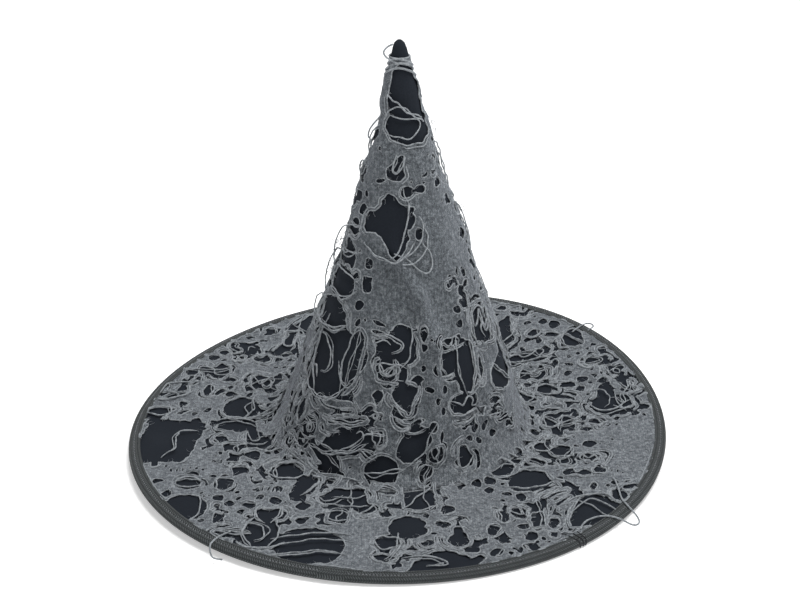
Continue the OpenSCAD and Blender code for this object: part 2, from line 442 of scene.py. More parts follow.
class Paint:
    """A material's node tree, with short ways to add what the fabrics need."""

    def __init__(self, name):
        self.material = bpy.data.materials.new(name)
        self.material.use_nodes = True
        self.nodes = self.material.node_tree.nodes
        self.links = self.material.node_tree.links
        self.shader = self.nodes["Principled BSDF"]
        self.place = self.nodes.new("ShaderNodeTexCoord").outputs["Object"]

    def join(self, a, b):
        self.links.new(a, b)

    def noise(self, scale, detail=2.0, rough=0.5, stretch=None):
        """Noise of so many waves a metre, stretched along the axes if asked."""
        node = self.nodes.new("ShaderNodeTexNoise")
        for socket, value in (("Scale", scale), ("Detail", detail), ("Roughness", rough)):
            self.feed(node.inputs[socket], value)
        place = self.place
        if stretch:
            mapping = self.nodes.new("ShaderNodeMapping")
            mapping.inputs["Scale"].default_value = stretch
            self.join(place, mapping.inputs["Vector"])
            place = mapping.outputs["Vector"]
        self.join(place, node.inputs["Vector"])
        return node.outputs["Fac"]

    def cells(self, scale):
        """Distances to the middles of small cells, like the stitches of a knit."""
        node = self.nodes.new("ShaderNodeTexVoronoi")
        node.inputs["Scale"].default_value = scale
        self.join(self.place, node.inputs["Vector"])
        return node.outputs["Distance"]

    def feed(self, socket, value):
        """Set a number or colour on the socket itself, or join another node's output to it."""
        if isinstance(value, tuple):
            socket.default_value = (*value, 1)
        elif isinstance(value, (int, float)):
            socket.default_value = value
        else:
            self.join(value, socket)

    def maths(self, kind, *values):
        """One step of arithmetic on numbers and other nodes' outputs."""
        node = self.nodes.new("ShaderNodeMath")
        node.operation = kind
        for socket, value in zip(node.inputs, values):
            self.feed(socket, value)
        return node.outputs[0]

    def times(self, a, b):
        return self.maths("MULTIPLY", a, b)

    def plus(self, a, b):
        return self.maths("ADD", a, b)

    def wave(self, value, pitch):
        """A sine of the value that repeats every pitch."""
        return self.maths("SINE", self.times(value, TURN / pitch))

    def ramp(self, value, *stops):
        """A colour that goes with a value, from stops of place and colour."""
        node = self.nodes.new("ShaderNodeValToRGB")
        ramp = node.color_ramp
        while len(ramp.elements) < len(stops):
            ramp.elements.new(0.5)
        for element, (at, colour) in zip(ramp.elements, stops):
            element.position = at
            element.color = (*colour, 1)
        self.join(value, node.inputs["Fac"])
        return node.outputs["Color"]

    def mix(self, share, a, b, kind="MIX"):
        """Colour a with a share of colour b."""
        node = self.nodes.new("ShaderNodeMix")
        node.data_type = "RGBA"
        node.blend_type = kind
        for socket, value in (("Factor", share), ("A", a), ("B", b)):
            self.feed(node.inputs[socket], value)
        return node.outputs["Result"]

    def measure(self, name):
        """A number that the mesh itself carries at each point."""
        node = self.nodes.new("ShaderNodeAttribute")
        node.attribute_name = name
        return node.outputs["Fac"]

    def axes(self):
        """The three coordinates in the hat's frame, in metres."""
        split = self.nodes.new("ShaderNodeSeparateXYZ")
        self.join(self.place, split.inputs["Vector"])
        return split.outputs

    def polar(self):
        """Distance from the hat's axis, the angle round it in radians, and height in metres."""
        x, y, z = self.axes()
        far = self.maths("SQRT", self.plus(self.times(x, x), self.times(y, y)))
        return far, self.maths("ARCTAN2", y, x), z

    def raise_by(self, height, distance, strength=1.0):
        """Fine relief on the surface, of so many metres."""
        node = self.nodes.new("ShaderNodeBump")
        node.inputs["Distance"].default_value = distance
        node.inputs["Strength"].default_value = strength
        self.join(height, node.inputs["Height"])
        self.join(node.outputs["Normal"], self.shader.inputs["Normal"])

    def finish(self, colour, rough=0.95, sheen=0.0, metal=0.0, spec=0.2, tint=(1, 1, 1)):
        """The shader's own values, and the finished material."""
        values = {"Base Color": colour, "Roughness": rough, "Metallic": metal, "Sheen Weight": sheen,
                  "Specular IOR Level": spec, "Sheen Roughness": 0.5, "Sheen Tint": tint}
        for socket, value in values.items():
            self.feed(self.shader.inputs[socket], value)
        return self.material


def scaled(colour, share):
    """A colour made lighter or darker."""
    return tuple(c * share for c in colour)


def cloth_paint(name, dark, light, weave=900):
    """Plain dark cloth: a fine even weave with slight fading and a few pale specks."""
    p = Paint(name)
    grain = p.noise(weave, 2.0, 0.7)
    broad = p.noise(28, 3.0, 0.6)
    colour = p.mix(broad, dark, light)
    colour = p.mix(p.times(grain, 0.55), colour, scaled(light, 1.7))
    p.raise_by(grain, 0.0003, 0.6)
    return p.finish(colour, 0.92, sheen=0.025, spec=0.09, tint=(0.7, 0.8, 1.0))


def gauze_paint(name, dark, mid, light, stretched=None):
    """Heathered fine knit: mottled grey with light and dark fibres and a soft, hairy surface. The
    stretched colour, if given, is a painted shade multiplied in from 12 mm up.
    """
    p = Paint(name)
    fibre = p.noise(1700, 2.0, 0.75)
    mottle = p.noise(430, 2.0, 0.65)
    broad = p.noise(45, 2.0, 0.5)
    heather = p.plus(p.times(fibre, 0.45), p.times(mottle, 0.55))
    colour = p.ramp(heather, (0.36, dark), (0.5, mid), (0.64, light))
    colour = p.mix(p.times(broad, 0.35), colour, dark)
    x, _, z = p.axes()
    if stretched:
        # painted shade on the crown's steep sides: darker from 12 mm up, fully from 38 mm
        painted_shade = p.ramp(p.times(z, 10), (0.12, (1, 1, 1)), (0.38, stretched))
        colour = p.mix(1.0, colour, painted_shade, "MULTIPLY")
    waver = p.maths("MULTIPLY_ADD", broad, 0.004, x)
    wale = p.wave(waver, 0.0017)
    colour = p.mix(p.maths("MULTIPLY_ADD", wale, 0.14, 0.14), colour, dark)
    knit = p.cells(1000)
    rough = p.plus(heather, p.times(knit, 0.5))
    p.raise_by(rough, 0.0008, 0.8)
    return p.finish(colour, 0.97, sheen=0.25, spec=0.1, tint=(0.85, 0.9, 1.0))


def yarn_paint(name, dark, light):
    """Spun yarn or thread: fibres and plies in two tones."""
    p = Paint(name)
    fibre = p.noise(1500, 3.0, 0.8)
    plies = p.noise(500, 2.0, 0.6)
    mixed = p.plus(p.times(fibre, 0.5), p.times(plies, 0.5))
    colour = p.ramp(mixed, (0.35, dark), (0.62, light))
    p.raise_by(fibre, 0.0004, 0.8)
    return p.finish(colour, 0.95, sheen=0.25, spec=0.1, tint=(0.85, 0.9, 1.0))


def tape_paint(name, dark, light, pitch=1.65, fold=2.5):
    """Twill tape: rows of slanting ribs that turn the other way every few millimetres."""
    p = Paint(name)
    along = p.measure("along")
    across = p.measure("across")
    side = p.maths("PINGPONG", p.plus(across, 0.4), fold)
    rib = p.wave(p.maths("MULTIPLY_ADD", side, 0.75, along), pitch)
    rib = p.maths("POWER", p.maths("MULTIPLY_ADD", rib, 0.5, 0.5), 2.0)
    row = p.wave(side, 2 * fold)
    grain = p.noise(1300, 2.0, 0.7)
    broad = p.noise(60, 3.0, 0.6)
    mixed = p.plus(p.times(p.times(rib, row), 0.62), p.times(grain, 0.38))
    colour = p.ramp(mixed, (0.12, dark), (0.85, light))
    colour = p.mix(p.times(broad, 0.6), colour, (0.024, 0.0255, 0.0235))
    p.raise_by(mixed, 0.0005, 0.8)
    return p.finish(colour, 0.9, sheen=0.08, spec=0.12)


def ribbon_paint(name, colour, pitch=0.0012):
    """Ribbed ribbon, its ribs upright round the opening."""
    p = Paint(name)
    _, turn, _ = p.polar()
    rib = p.wave(turn, pitch / (OPENING_R * MM))
    grain = p.noise(1400, 2.0, 0.7)
    mixed = p.plus(p.maths("MULTIPLY_ADD", rib, 0.25, 0.25), p.times(grain, 0.5))
    shade = p.ramp(mixed, (0.2, scaled(colour, 0.5)), (0.8, scaled(colour, 1.8)))
    p.raise_by(mixed, 0.0004, 0.8)
    return p.finish(shade, 0.65, sheen=0.1, spec=0.3)


def metal_paint(name, colour, rough):
    """Bare metal with drawn scratches."""
    p = Paint(name)
    scratch = p.noise(700, 2.0, 0.6, stretch=(1, 1, 8))
    shade = p.mix(scratch, scaled(colour, 0.7), colour)
    p.raise_by(scratch, 0.0001, 0.4)
    return p.finish(shade, rough, metal=1.0, spec=0.5)


BLACK = cloth_paint("black_cloth", (0.0075, 0.0092, 0.0125), (0.013, 0.0158, 0.0208))
UNDER = cloth_paint("under_cloth", (0.011, 0.013, 0.017), (0.018, 0.021, 0.026))
FUSED = cloth_paint("fused_lining", (0.030, 0.031, 0.034), (0.050, 0.051, 0.055), weave=500)
KNIT_TONES = ((0.047, 0.052, 0.058), (0.147, 0.162, 0.177), (0.35, 0.377, 0.40))
GAUZE = gauze_paint("knit_gauze", *KNIT_TONES)
# painted shade: the crown's gauze, darkened above the brim by the stretched colour
CROWN_GAUZE_SHADED = gauze_paint("gauze_painted_shade", *KNIT_TONES, stretched=(0.75, 0.76, 0.765))
YARN = yarn_paint("gauze_yarn", (0.112, 0.123, 0.134), (0.365, 0.39, 0.41))
TAPE = tape_paint("binding_tape", (0.010, 0.012, 0.0135), (0.15, 0.165, 0.172))
RIBBON = ribbon_paint("band_ribbon", (0.016, 0.016, 0.018))
THREAD = yarn_paint("pale_thread", (0.10, 0.106, 0.112), (0.27, 0.28, 0.295))
DARK_THREAD = yarn_paint("dark_thread", (0.010, 0.010, 0.012), (0.028, 0.028, 0.030))
STEEL = metal_paint("wire_steel", (0.55, 0.55, 0.56), 0.35)
CRIMP = metal_paint("crimp_alloy", (0.60, 0.60, 0.61), 0.45)


# ---------------------------------------------------------------- camera, lights and floor

LOOK_AT = Vector((0.00036, 0, 0.1043))
CAMERA_FAR = 1.1289
CAMERA_UP = math.radians(26.04)
LENS = 70.65                    # millimetres, on a 36 mm sensor


def make_camera():
    """The photo's view, fitted to its rim, crown foot and crown outline."""
    data = bpy.data.cameras.new("camera")
    data.sensor_width = 36
    data.lens = LENS
    data.clip_start = 0.01
    camera = show("camera", data)
    back = Vector((0, -math.cos(CAMERA_UP), math.sin(CAMERA_UP)))
    camera.location = LOOK_AT + CAMERA_FAR * back
    camera.rotation_euler = (-back).to_track_quat("-Z", "Y").to_euler()
    bpy.context.scene.camera = camera


def area_light(name, place, size, power, aim=(0, 0, 0.08)):
    """A round soft light that faces the hat."""
    data = bpy.data.lights.new(name, "AREA")
    data.shape = "DISK"
    data.size = size
    data.energy = power
    lamp = show(name, data)
    lamp.location = place
    lamp.rotation_euler = (Vector(place) - Vector(aim)).to_track_quat("Z", "Y").to_euler()


def make_sky():
    """A pale world, brighter at the horizon than overhead."""
    world = bpy.data.worlds.new("studio")
    world.use_nodes = True
    nodes, join = world.node_tree.nodes, world.node_tree.links.new
    place = nodes.new("ShaderNodeTexCoord")
    split = nodes.new("ShaderNodeSeparateXYZ")
    ramp = nodes.new("ShaderNodeValToRGB")
    for element, at, tone in zip(ramp.color_ramp.elements, (0.16, 0.5), (0.82, 0.27)):
        element.position = at
        element.color = (tone, tone, tone, 1)
    join(place.outputs["Generated"], split.inputs["Vector"])
    join(split.outputs["Z"], ramp.inputs["Fac"])
    join(ramp.outputs["Color"], nodes["Background"].inputs["Color"])
    bpy.context.scene.world = world
    bpy.context.scene.view_settings.view_transform = "Standard"


def make_floor():
    """A plain white floor, which glows a little so that it fades into the picture's edge."""
    mesh = bpy.data.meshes.new("floor")
    half = 6.0
    corners = [(x * half, y * half, 0) for x, y in ((-1, -1), (1, -1), (1, 1), (-1, 1))]
    mesh.from_pydata(corners, [], [(0, 1, 2, 3)])
    p = Paint("floor_paper")
    tone = p.mix(p.noise(3, 2.0), (0.86, 0.86, 0.86), (0.88, 0.88, 0.88))
    p.feed(p.shader.inputs["Emission Color"], (1, 1, 1))
    far, _, _ = p.polar()
    glow = p.ramp(p.times(far, 0.25), (0.25, (0.4, 0.4, 0.4)), (0.8, (0.8, 0.8, 0.8)))
    p.join(glow, p.shader.inputs["Emission Strength"])
    mesh.materials.append(p.finish(tone, 0.9))
    show("floor", mesh)


make_camera()
make_sky()
area_light("key", (0.40, -0.10, 1.75), 1.0, 31)
area_light("fill", (-0.9, -0.9, 1.1), 1.2, 0.8)
area_light("rear", (-0.1, 1.3, 1.2), 1.2, 4.5)
make_floor()


# ---------------------------------------------------------------- loose yarns (free cords)

# The points of part.scad's routes, in millimetres. The brim's are on the flat brim.
ROUTES = {
    "loose_yarn_right_rim": [
        (150, -86, 5.8), (151, -89.5, 6), (151.5, -93, 6.2), (151.8, -96.5, 6.2),
        (152, -100, 6.3), (152.2, -103.5, 6.3), (152.3, -107, 6.4), (152.5, -110.5, 6.5),
        (153, -114, 6.7), (154, -117.5, 6.9), (155.3, -121, 7), (156.8, -124.3, 6.8),
        (158.4, -127.4, 6.3), (160, -130.4, 5.5), (161.3, -133.6, 4.7), (161.5, -137, 4),
        (159.4, -139.6, 3.8), (156.2, -140, 4.3), (153, -138.6, 5.2), (149.8, -136.8, 6.2),
        (146.5, -135.2, 6.8), (143, -134, 7), (139.5, -133.2, 6.9), (136, -133, 6.7),
        (132.5, -133.6, 6.5), (129.2, -135, 6.3), (126.2, -137, 6.2), (123.8, -139.8, 6.2),
        (122, -143, 6), (120.8, -146.4, 5.8),
    ],
    "loose_yarn_left_rim": [
        (-108.4, -148, 5.8), (-111, -150.4, 6.2), (-113.4, -153, 6.5), (-115.5, -155.8, 6.7),
        (-117.3, -158.9, 6.9), (-118.8, -162.2, 6.9), (-119.3, -165.6, 6.1),
        (-118.8, -168.2, 3.9), (-117.6, -169.6, 1.4), (-114.6, -170.8, 0.9),
        (-111.2, -171.6, 0.9),
    ],
    "loose_yarn_back_rim": [
        (140, 118, 5.8), (142.4, 120.5, 6.1), (144.8, 123, 6.4), (147.4, 125.5, 6.6),
        (150.2, 127.8, 6.7), (153.2, 129.6, 6.7), (156.4, 129.5, 6.4), (158.2, 126.8, 6.2),
        (157.6, 123.5, 6.6), (155.4, 120.8, 6.6), (153, 118.2, 6.4),
    ],
    "loose_yarn_tip": [
        (6.8, -1.8, 278), (6.9, -4, 280.2), (4.9, -6.1, 281.6), (2, -7, 282.4),
        (-1.1, -7.1, 283), (-4, -6.1, 283.8), (-6.6, -4.6, 284.8), (-9.1, -3, 286.2),
        (-10.6, -1.6, 288.6), (-9.2, -1, 291.2), (-6.9, -0.8, 293), (-4.3, -0.8, 294.2),
    ],
}


def loose_yarn(name):
    """One free yarn: a round bevelled curve through its route's points."""
    route = np.array(ROUTES[name], float)
    if name != "loose_yarn_tip":
        route = settle(*route.T)
    line = spline(route, 1.2) * MM
    data = bpy.data.curves.new(name, "CURVE")
    data.dimensions = "3D"
    data.bevel_depth = YARN_D / 2 * MM
    data.bevel_resolution = 3
    data.use_fill_caps = True
    path = data.splines.new("POLY")
    path.points.add(len(line) - 1)
    path.points.foreach_set("co", np.hstack([line, np.ones((len(line), 1))]).ravel())
    data.materials.append(YARN)
    yarn = show(name + "_strand", data)
    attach(yarn, BODY)
    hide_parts(name)


for yarn_name in ROUTES:
    loose_yarn(yarn_name)


# ---------------------------------------------------------------- black cloth, lining and band

def cut_outline(first, second):
    """The outline of a thin cut: out along its first side and back along its second."""
    there, back = (np.stack(np.broadcast_arrays(*side), -1) for side in (first, second))
    return np.vstack([there, back[::-1]])


def place_brim(angle, r, z):
    """Places of the brim's flat layers."""
    a = np.radians(angle)
    q = np.stack([r * np.cos(a), r * np.sin(a)], -1)
    return settle(*q.T, z + brim_dip(q))


def place_crown(angle, off, z):
    """Places of the crown's layers. Below the cloth's foot they stand straight down."""
    spot = crown_point(angle, np.maximum(z, BRIM_Z), off)
    spot[:, 2] = z
    return spot


def brim_layer(node, bottom, top, material):
    """One of the brim's three flat layers, from the crown's foot to inside the tape."""
    r = np.linspace(BASE_R, LAYER_R, 26)
    section = cut_outline((r, bottom), (r, top))
    ring = swept_ring(node + "_ring", node, section, place_brim, material, 360)


def crown_cloth():
    """The cone of black cloth: outer and inner faces, closed at its point, turned down at its foot."""
    outer_z = np.concatenate([np.linspace(BRIM_Z, 280, 120), np.linspace(281.5, TIP_Z - 2, 9)])
    cap = [(0, TIP_Z - 1.1), (-0.1, TIP_Z - 0.5), (-0.3, TIP_Z - 0.15), (-0.3, TIP_Z)]
    inner_z = np.linspace(TIP_Z - 6, BRIM_Z, 110)
    section = np.array(
        [(0.0, z) for z in outer_z] + cap + [(-30.0, TIP_Z + 0.05), (-30.0, TIP_Z - 5)]
        + [(-CLOTH_T, z) for z in inner_z]
        + [(-CLOTH_T - LINING_T, BRIM_Z), (-CLOTH_T - LINING_T, UNDER_Z), (-0.1, UNDER_Z)]
    )

    def place(angle, off, z):
        middle = np.stack([lean(z), 0 * z, z], -1)
        closed = (outline_r(z) + off <= 0.05)[:, None]
        return np.where(closed, middle, place_crown(angle, off, z))

    cone = swept_ring("crown_cloth_cone", "crown_cloth", section, place, BLACK, 300)


brim_layer("brim_top_cloth", TOP_Z, BRIM_Z, BLACK)
brim_layer("brim_under_cloth", UNDER_Z, STIFF_Z, UNDER)
brim_layer("brim_stiffener", STIFF_Z, TOP_Z, FUSED)
crown_cloth()

# ---------------------------------------------------------------- lining, back seam and band

LINING_IN = -CLOTH_T - LINING_T
SEAM_W = high("crown_back_seam")[0]
SEAM_T = 1.0
SEAM_GAP = 1.4
SEAM_PITCH = 6
BAND_T = 0.7


def interlining():
    """The fused layer inside the crown, cut short of its point."""
    z = np.linspace(BRIM_Z, LINING_TOP, 90)
    section = cut_outline((-CLOTH_T - 0.02, z), (LINING_IN, z))
    cone = swept_ring("crown_interlining_cone", "crown_interlining", section, place_crown,
                      FUSED, 240)


def back_seam():
    """The crown panel's two edges, turned back inside and pinked along their raw sides."""
    strips = Batch()
    rows = np.arange(SEAM_LOW, SEAM_HIGH, 1.5)
    z = np.repeat(rows, 4)
    across = np.tile([SEAM_GAP / 2, 3.2, 6.0, SEAM_W], (len(rows), 1))
    across[1::2, 3] -= 0.7
    for side in (-1, 1):
        uneven = 0.12 * ripple(rows[:, None], 24, 7 + side)[:, None]
        curl = np.maximum(np.array([0.0, 0.1, 0.25, 0.55]) + uneven, 0).ravel()
        layers = []
        for depth in (0.05, SEAM_T):
            off = LINING_IN - depth - curl
            turn = np.degrees(side * across.ravel() / np.maximum(outline_r(z) + off, 1))
            layers.append(crown_point(90 - turn, z, off))
        strips.slab(*layers, len(rows), 4, side > 0)
    strips.make("crown_back_seam_allowance", BLACK, "crown_back_seam")


def seam_stitches():
    """The back seam's thread, seen inside as a row of short stitches."""
    threads = Batch()
    t = np.linspace(0, 1, 7)
    off = LINING_IN - 0.15 - 0.45 * np.sin(math.pi * t)
    for start in np.arange(SEAM_LOW + 4, SEAM_HIGH - 4, SEAM_PITCH):
        threads.tube(crown_point(np.full(7, 90.0), start + 4.2 * t, off), (0, -1, 0.2), 0.28)
    threads.make("crown_seam_thread", DARK_THREAD, "crown_seam_stitches")


def head_band():
    """The ribbed ribbon inside the opening, its hem standing straight and its top lying on the cone."""
    outer = LINING_IN - 0.05
    z = np.linspace(UNDER_Z + 0.1, BAND_TOP, 40)
    edge = 0.12 * (bump(z, z[0] + 1.2, 0.9) + bump(z, z[-1] - 1.2, 0.9))
    section = cut_outline((outer, z), (outer - BAND_T + 0.05 - edge, z))

    def place(angle, off, z):
        ribs = 0.05 * np.sin(np.radians(angle) * 190) * (off < outer - 0.3)
        spot = place_crown(angle, off + ribs, np.maximum(z, BRIM_Z + 0.4))
        spot[:, 2] = z
        return spot

    band = swept_ring("head_band_ribbon", "head_band", section, place, RIBBON, 1140)


def ring_stitches(name, node, radius, z, pitch, long, thick, material, out=1, skip=(),
                  slant=0.0, bow=0.3):
    """A row of stitches round the brim, each a short thread that dips into the cloth at its ends."""
    batch = Batch()
    count = int(TURN * radius / pitch)
    t = np.linspace(-0.5, 0.5, 6)
    height = z + out * bow * (np.cos(math.pi * t) - 0.6)
    for angle in np.arange(count) * 360 / count:
        if any(abs(apart(angle, at)) < span for at, span in skip):
            continue
        a = math.radians(angle) + t * long / radius
        batch.tube(round_brim(radius + slant * t, a, height), (0, 0, out), thick, 5)
    batch.make(name, material, node)


# ---------------------------------------------------------------- wired and bound edge

FOLD_R = EDGE_H / 2
FOLD_AT = RIM_R - FOLD_R
TAPE_IN = RIM_R - TAPE_W
WIRE_R = 0.9
WIRE_AT = high("brim_wire")[0] - WIRE_R
CRIMP_R = 1.3
STITCH_AT = RIM_R - 4
STITCH_PITCH = 2.25
TAPE_STEPS = 1000
LAP_AT, LAP_SPAN = -102.5, 5
TACK_AT = -53.5


def wire_line(start, end, count):
    """The middle of the wire between two angles."""
    a = np.radians(np.linspace(start, end, count))
    return round_brim(WIRE_AT, a, np.full(count, EDGE_H / 2))


def brim_wire():
    """The hoop, whose ends meet at the back."""
    batch = Batch()
    batch.tube(wire_line(90.5, 449.5, 520), UP, WIRE_R, 12)
    batch.make("brim_wire_hoop", STEEL, "brim_wire")


def wire_sleeve():
    """The crimped tube that joins the wire's ends, with two pinched places."""
    steps, sides = 41, 16
    along = np.linspace(-1, 1, steps)
    pinch = 1 - 0.09 * (bump(along, -0.5, 0.14) + bump(along, 0.5, 0.14))
    line = wire_line(88, 92, steps)
    bore = rings_about(line, UP, WIRE_R + 0.02, sides).reshape(steps, sides, 3)[::-1]
    batch = Batch()
    batch.add(np.vstack([rings_about(line, UP, CRIMP_R * pinch, sides), bore.reshape(-1, 3)]),
              grid_faces(2 * steps, sides, True, True))
    batch.make("brim_wire_crimp", CRIMP, "brim_wire_sleeve")


def fold_profile(half, inner_end, relief=None):
    """A C-shaped line over the rim, from the top's inner edge round to the underside's."""
    r = np.linspace(inner_end, FOLD_AT, 22)
    turn = np.radians(np.linspace(90, -90, 25)[1:-1])
    top = np.stack([r, EDGE_H / 2 + half + (relief(r) if relief else 0 * r)], -1)
    nose = np.stack([FOLD_AT + half * np.cos(turn), EDGE_H / 2 + half * np.sin(turn)], -1)
    under = np.stack([r[::-1], np.full(22, EDGE_H / 2 - half)], -1)
    return np.vstack([top, nose, under])


def tape_relief(r):
    """The tape's rise and fall: a rolled inner edge, and a valley that its stitches pull in."""
    return (0.22 * bump(r, TAPE_IN + 1.4, 0.9) - 0.42 * bump(r, STITCH_AT, 0.6)
            + 0.1 * bump(r, STITCH_AT + 1.6, 0.8) - 0.3 * bump(r, TAPE_IN, 0.35))


def place_tape(angle, r, z):
    """Places of the tape's section round the rim, drawn in a little at each stitch."""
    a = np.radians(angle)
    top = smooth(z, EDGE_H * 0.7, EDGE_H)
    stitches = np.cos(a * TURN * STITCH_AT / STITCH_PITCH) * bump(r, STITCH_AT, 1.6)
    drawn = 0.05 * top * (stitches + np.sin(a * 61) * bump(r, TAPE_IN, 1.5))
    slack = 0.12 * top * np.sin(a * 23 + np.sin(a * 7)) * bump(r, TAPE_IN, 2)
    return round_brim(r + slack, a, z + drawn)


def edge_binding():
    """The tape, folded over the rim and its wire."""
    outer = fold_profile(FOLD_R, TAPE_IN, tape_relief)
    section = np.vstack([outer, fold_profile(FOLD_R - TAPE_T, TAPE_IN)[::-1]])
    tape = swept_ring("edge_binding_tape", "edge_binding", section, place_tape,
                      TAPE, TAPE_STEPS)
    run = np.concatenate([[0], np.cumsum(np.linalg.norm(np.diff(outer, axis=0), axis=1))])
    carry(tape, "across", np.tile(np.concatenate([run, run[::-1]]), TAPE_STEPS))
    along = np.arange(TAPE_STEPS) * TURN * STITCH_AT / TAPE_STEPS
    carry(tape, "along", np.repeat(along, len(section)))


def binding_lap():
    """The tape's turned end: a short layer wrapped over the tape's top and nose."""
    inner_end, skin, steps = TAPE_IN + 0.4, 0.42, 26
    over, under = (fold_profile(FOLD_R + off, inner_end) for off in (skin, 0.02))
    keep = over[:, 1] > EDGE_H / 2 - 0.2
    section = np.vstack([over[keep], under[keep][::-1]])
    n = len(section)
    angles = np.repeat(LAP_AT + LAP_SPAN * np.linspace(-0.5, 0.5, steps), n)
    r, z = np.tile(section, (steps, 1)).T
    r = np.minimum(r, RIM_R + skin * 0.4)
    faces = grid_faces(steps, n, False, True)
    for row, flip in ((0, False), (steps - 1, True)):
        for k in range(n // 2 - 1):
            cap = [row * n + c for c in (k, k + 1, n - 2 - k, n - 1 - k)]
            faces.append(cap[::-1] if flip else cap)
    verts = round_brim(r, np.radians(angles), z)
    lap = make_mesh("binding_lap_end", verts, faces, TAPE)
    carry(lap, "across", abs(r - inner_end))
    carry(lap, "along", np.radians(angles) * STITCH_AT)
    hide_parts("binding_lap")


def binding_tack():
    """Three turns of thread round the tape, and the knot's two ends."""
    batch = Batch()
    profile = fold_profile(FOLD_R + 0.3, TAPE_IN - 1.2)
    r, z = profile[profile[:, 1] > 0.6].T
    for turn, shift in enumerate((0.0, 0.75, 1.35)):
        a = np.radians(TACK_AT + shift + np.linspace(0.5 * turn - 0.4, 0.3, len(r)))
        line = round_brim(r, a, z)
        across = np.stack([-np.sin(a), np.cos(a), 0 * a], -1)
        batch.tube(line, np.cross(across, np.gradient(line, axis=0)), 0.42, 8)
    # each end from one radius, angle and height to another
    t = np.linspace(0, 1, 8)
    for start, end in (((188.6, -53.9, 5.7), (185.2, -54.8, 5.5)),
                       ((188.8, -52.4, 5.7), (187.0, -50.9, 5.6))):
        r, angle, z = (a + (b - a) * t for a, b in zip(start, end))
        batch.tube(round_brim(r, np.radians(angle), z + np.sin(3 * t) * 0.5), UP, 0.34)
    batch.make("binding_tack_thread", DARK_THREAD, "binding_tack")


def all_stitches():
    """The rows of stitches at the opening and along the tape."""
    ring_stitches("opening_stitch_thread", "opening_stitches", BASE_R + 1.6, UNDER_Z - 0.12,
                  6.3, 3.0, 0.26, DARK_THREAD, out=-1)
    skips = ((LAP_AT, 0.2), (TACK_AT + 0.8, 1.1))
    ring_stitches("binding_top_thread", "binding_top_stitches", STITCH_AT, EDGE_H - 0.22,
                  STITCH_PITCH, 1.15, 0.31, THREAD, skip=skips, slant=0.7, bow=0.4)
    ring_stitches("binding_under_thread", "binding_under_stitches", TAPE_IN - 0.8, UNDER_Z - 0.1,
                  2.9, 1.9, 0.24, THREAD, out=-1)


interlining()
back_seam()
seam_stitches()
head_band()
brim_wire()
wire_sleeve()
edge_binding()
binding_lap()
binding_tack()
all_stitches()

# ---------------------------------------------------------------- torn gauze

BRIM_SEED, CROWN_SEED, YARN_SEED = 21, 33, 8

# Outlines of tears in a box of half-width 1, x to the right and y up the sheet.
SHAPES = {
    "oval": [(1, 0), (0.75, 0.7), (0, 1), (-0.75, 0.75), (-1, 0), (-0.7, -0.75), (0, -1),
             (0.75, -0.7)],
    "egg": [(0.9, 0.2), (0.6, 0.8), (0, 1), (-0.6, 0.75), (-1, -0.1), (-0.8, -0.75), (0, -1),
            (0.8, -0.65)],
    "pear": [(0, 1), (0.35, 0.6), (0.6, 0.05), (1, -0.5), (0.5, -1), (-0.5, -0.95), (-1, -0.45),
             (-0.5, 0.15), (-0.3, 0.65)],
    "kite": [(-0.05, 1), (0.9, 0.45), (1, 0.25), (0.4, -0.35), (0, -1), (-0.15, -0.95),
             (-0.5, -0.4), (-1, 0.2), (-0.9, 0.4)],
    "quad": [(-0.95, 0.75), (-0.8, 0.95), (0.75, 1), (0.95, 0.85), (1, -0.7), (0.8, -0.95),
             (-0.5, -1), (-0.8, -0.85)],
    "bean": [(-1, 0.1), (-0.65, 0.85), (-0.1, 0.45), (0.4, 0.9), (1, 0.4), (0.85, -0.6),
             (0.3, -1), (-0.2, -0.55), (-0.7, -0.8)],
    "stripe": [(-1, -0.8), (-0.85, -0.2), (-0.3, 0.35), (0.4, 0.75), (1, 1), (0.95, 0.4),
               (0.4, -0.1), (-0.2, -0.55), (-0.8, -1)],
    "dome": [(-1, -0.9), (-0.85, -0.1), (-0.45, 0.7), (0.1, 1), (0.65, 0.65), (1, -0.2),
             (0.95, -0.9), (0.3, -1), (-0.5, -1)],
    "wedge": [(0, 1), (0.2, 0.6), (0.6, -0.2), (1, -0.8), (0.8, -1), (-0.7, -0.95), (-1, -0.75),
              (-0.55, -0.05), (-0.2, 0.65)],
    "cross": [(0.05, 1), (0.45, 0.62), (0.95, 0.5), (0.8, -0.1), (0.85, -0.55), (0.45, -1),
              (0, -0.7), (-0.4, -0.4), (-1, -0.3), (-0.95, 0.15), (-0.45, 0.45), (-0.35, 0.7)],
    "rag": [(-0.9, 0.6), (-0.3, 1), (0.1, 0.7), (0.7, 0.95), (0.95, 0.3), (0.6, -0.15),
            (0.85, -0.7), (0.25, -1), (-0.15, -0.6), (-0.75, -0.9), (-1, -0.2), (-0.65, 0.2)],
    "flask": [(-0.3, 1), (0.35, 0.95), (0.5, 0.3), (0.95, -0.2), (0.9, -0.8), (0.2, -1),
              (-0.6, -0.95), (-1, -0.4), (-0.55, 0.3)],
    "smile": [(-1, 0.95), (-0.6, 0.2), (0, -0.15), (0.6, 0.2), (1, 0.95), (0.75, -0.35), (0, -1),
              (-0.75, -0.3)],
    "slit": [(-1, 0.1), (-0.4, 0.8), (0.5, 1), (1, 0.2), (0.5, -0.3), (-0.4, -0.8)],
}

SMALL_SHAPES = ("oval", "egg", "kite", "slit")
LARGE_SHAPES = [name for name in SHAPES if name not in ("slit", "stripe")]

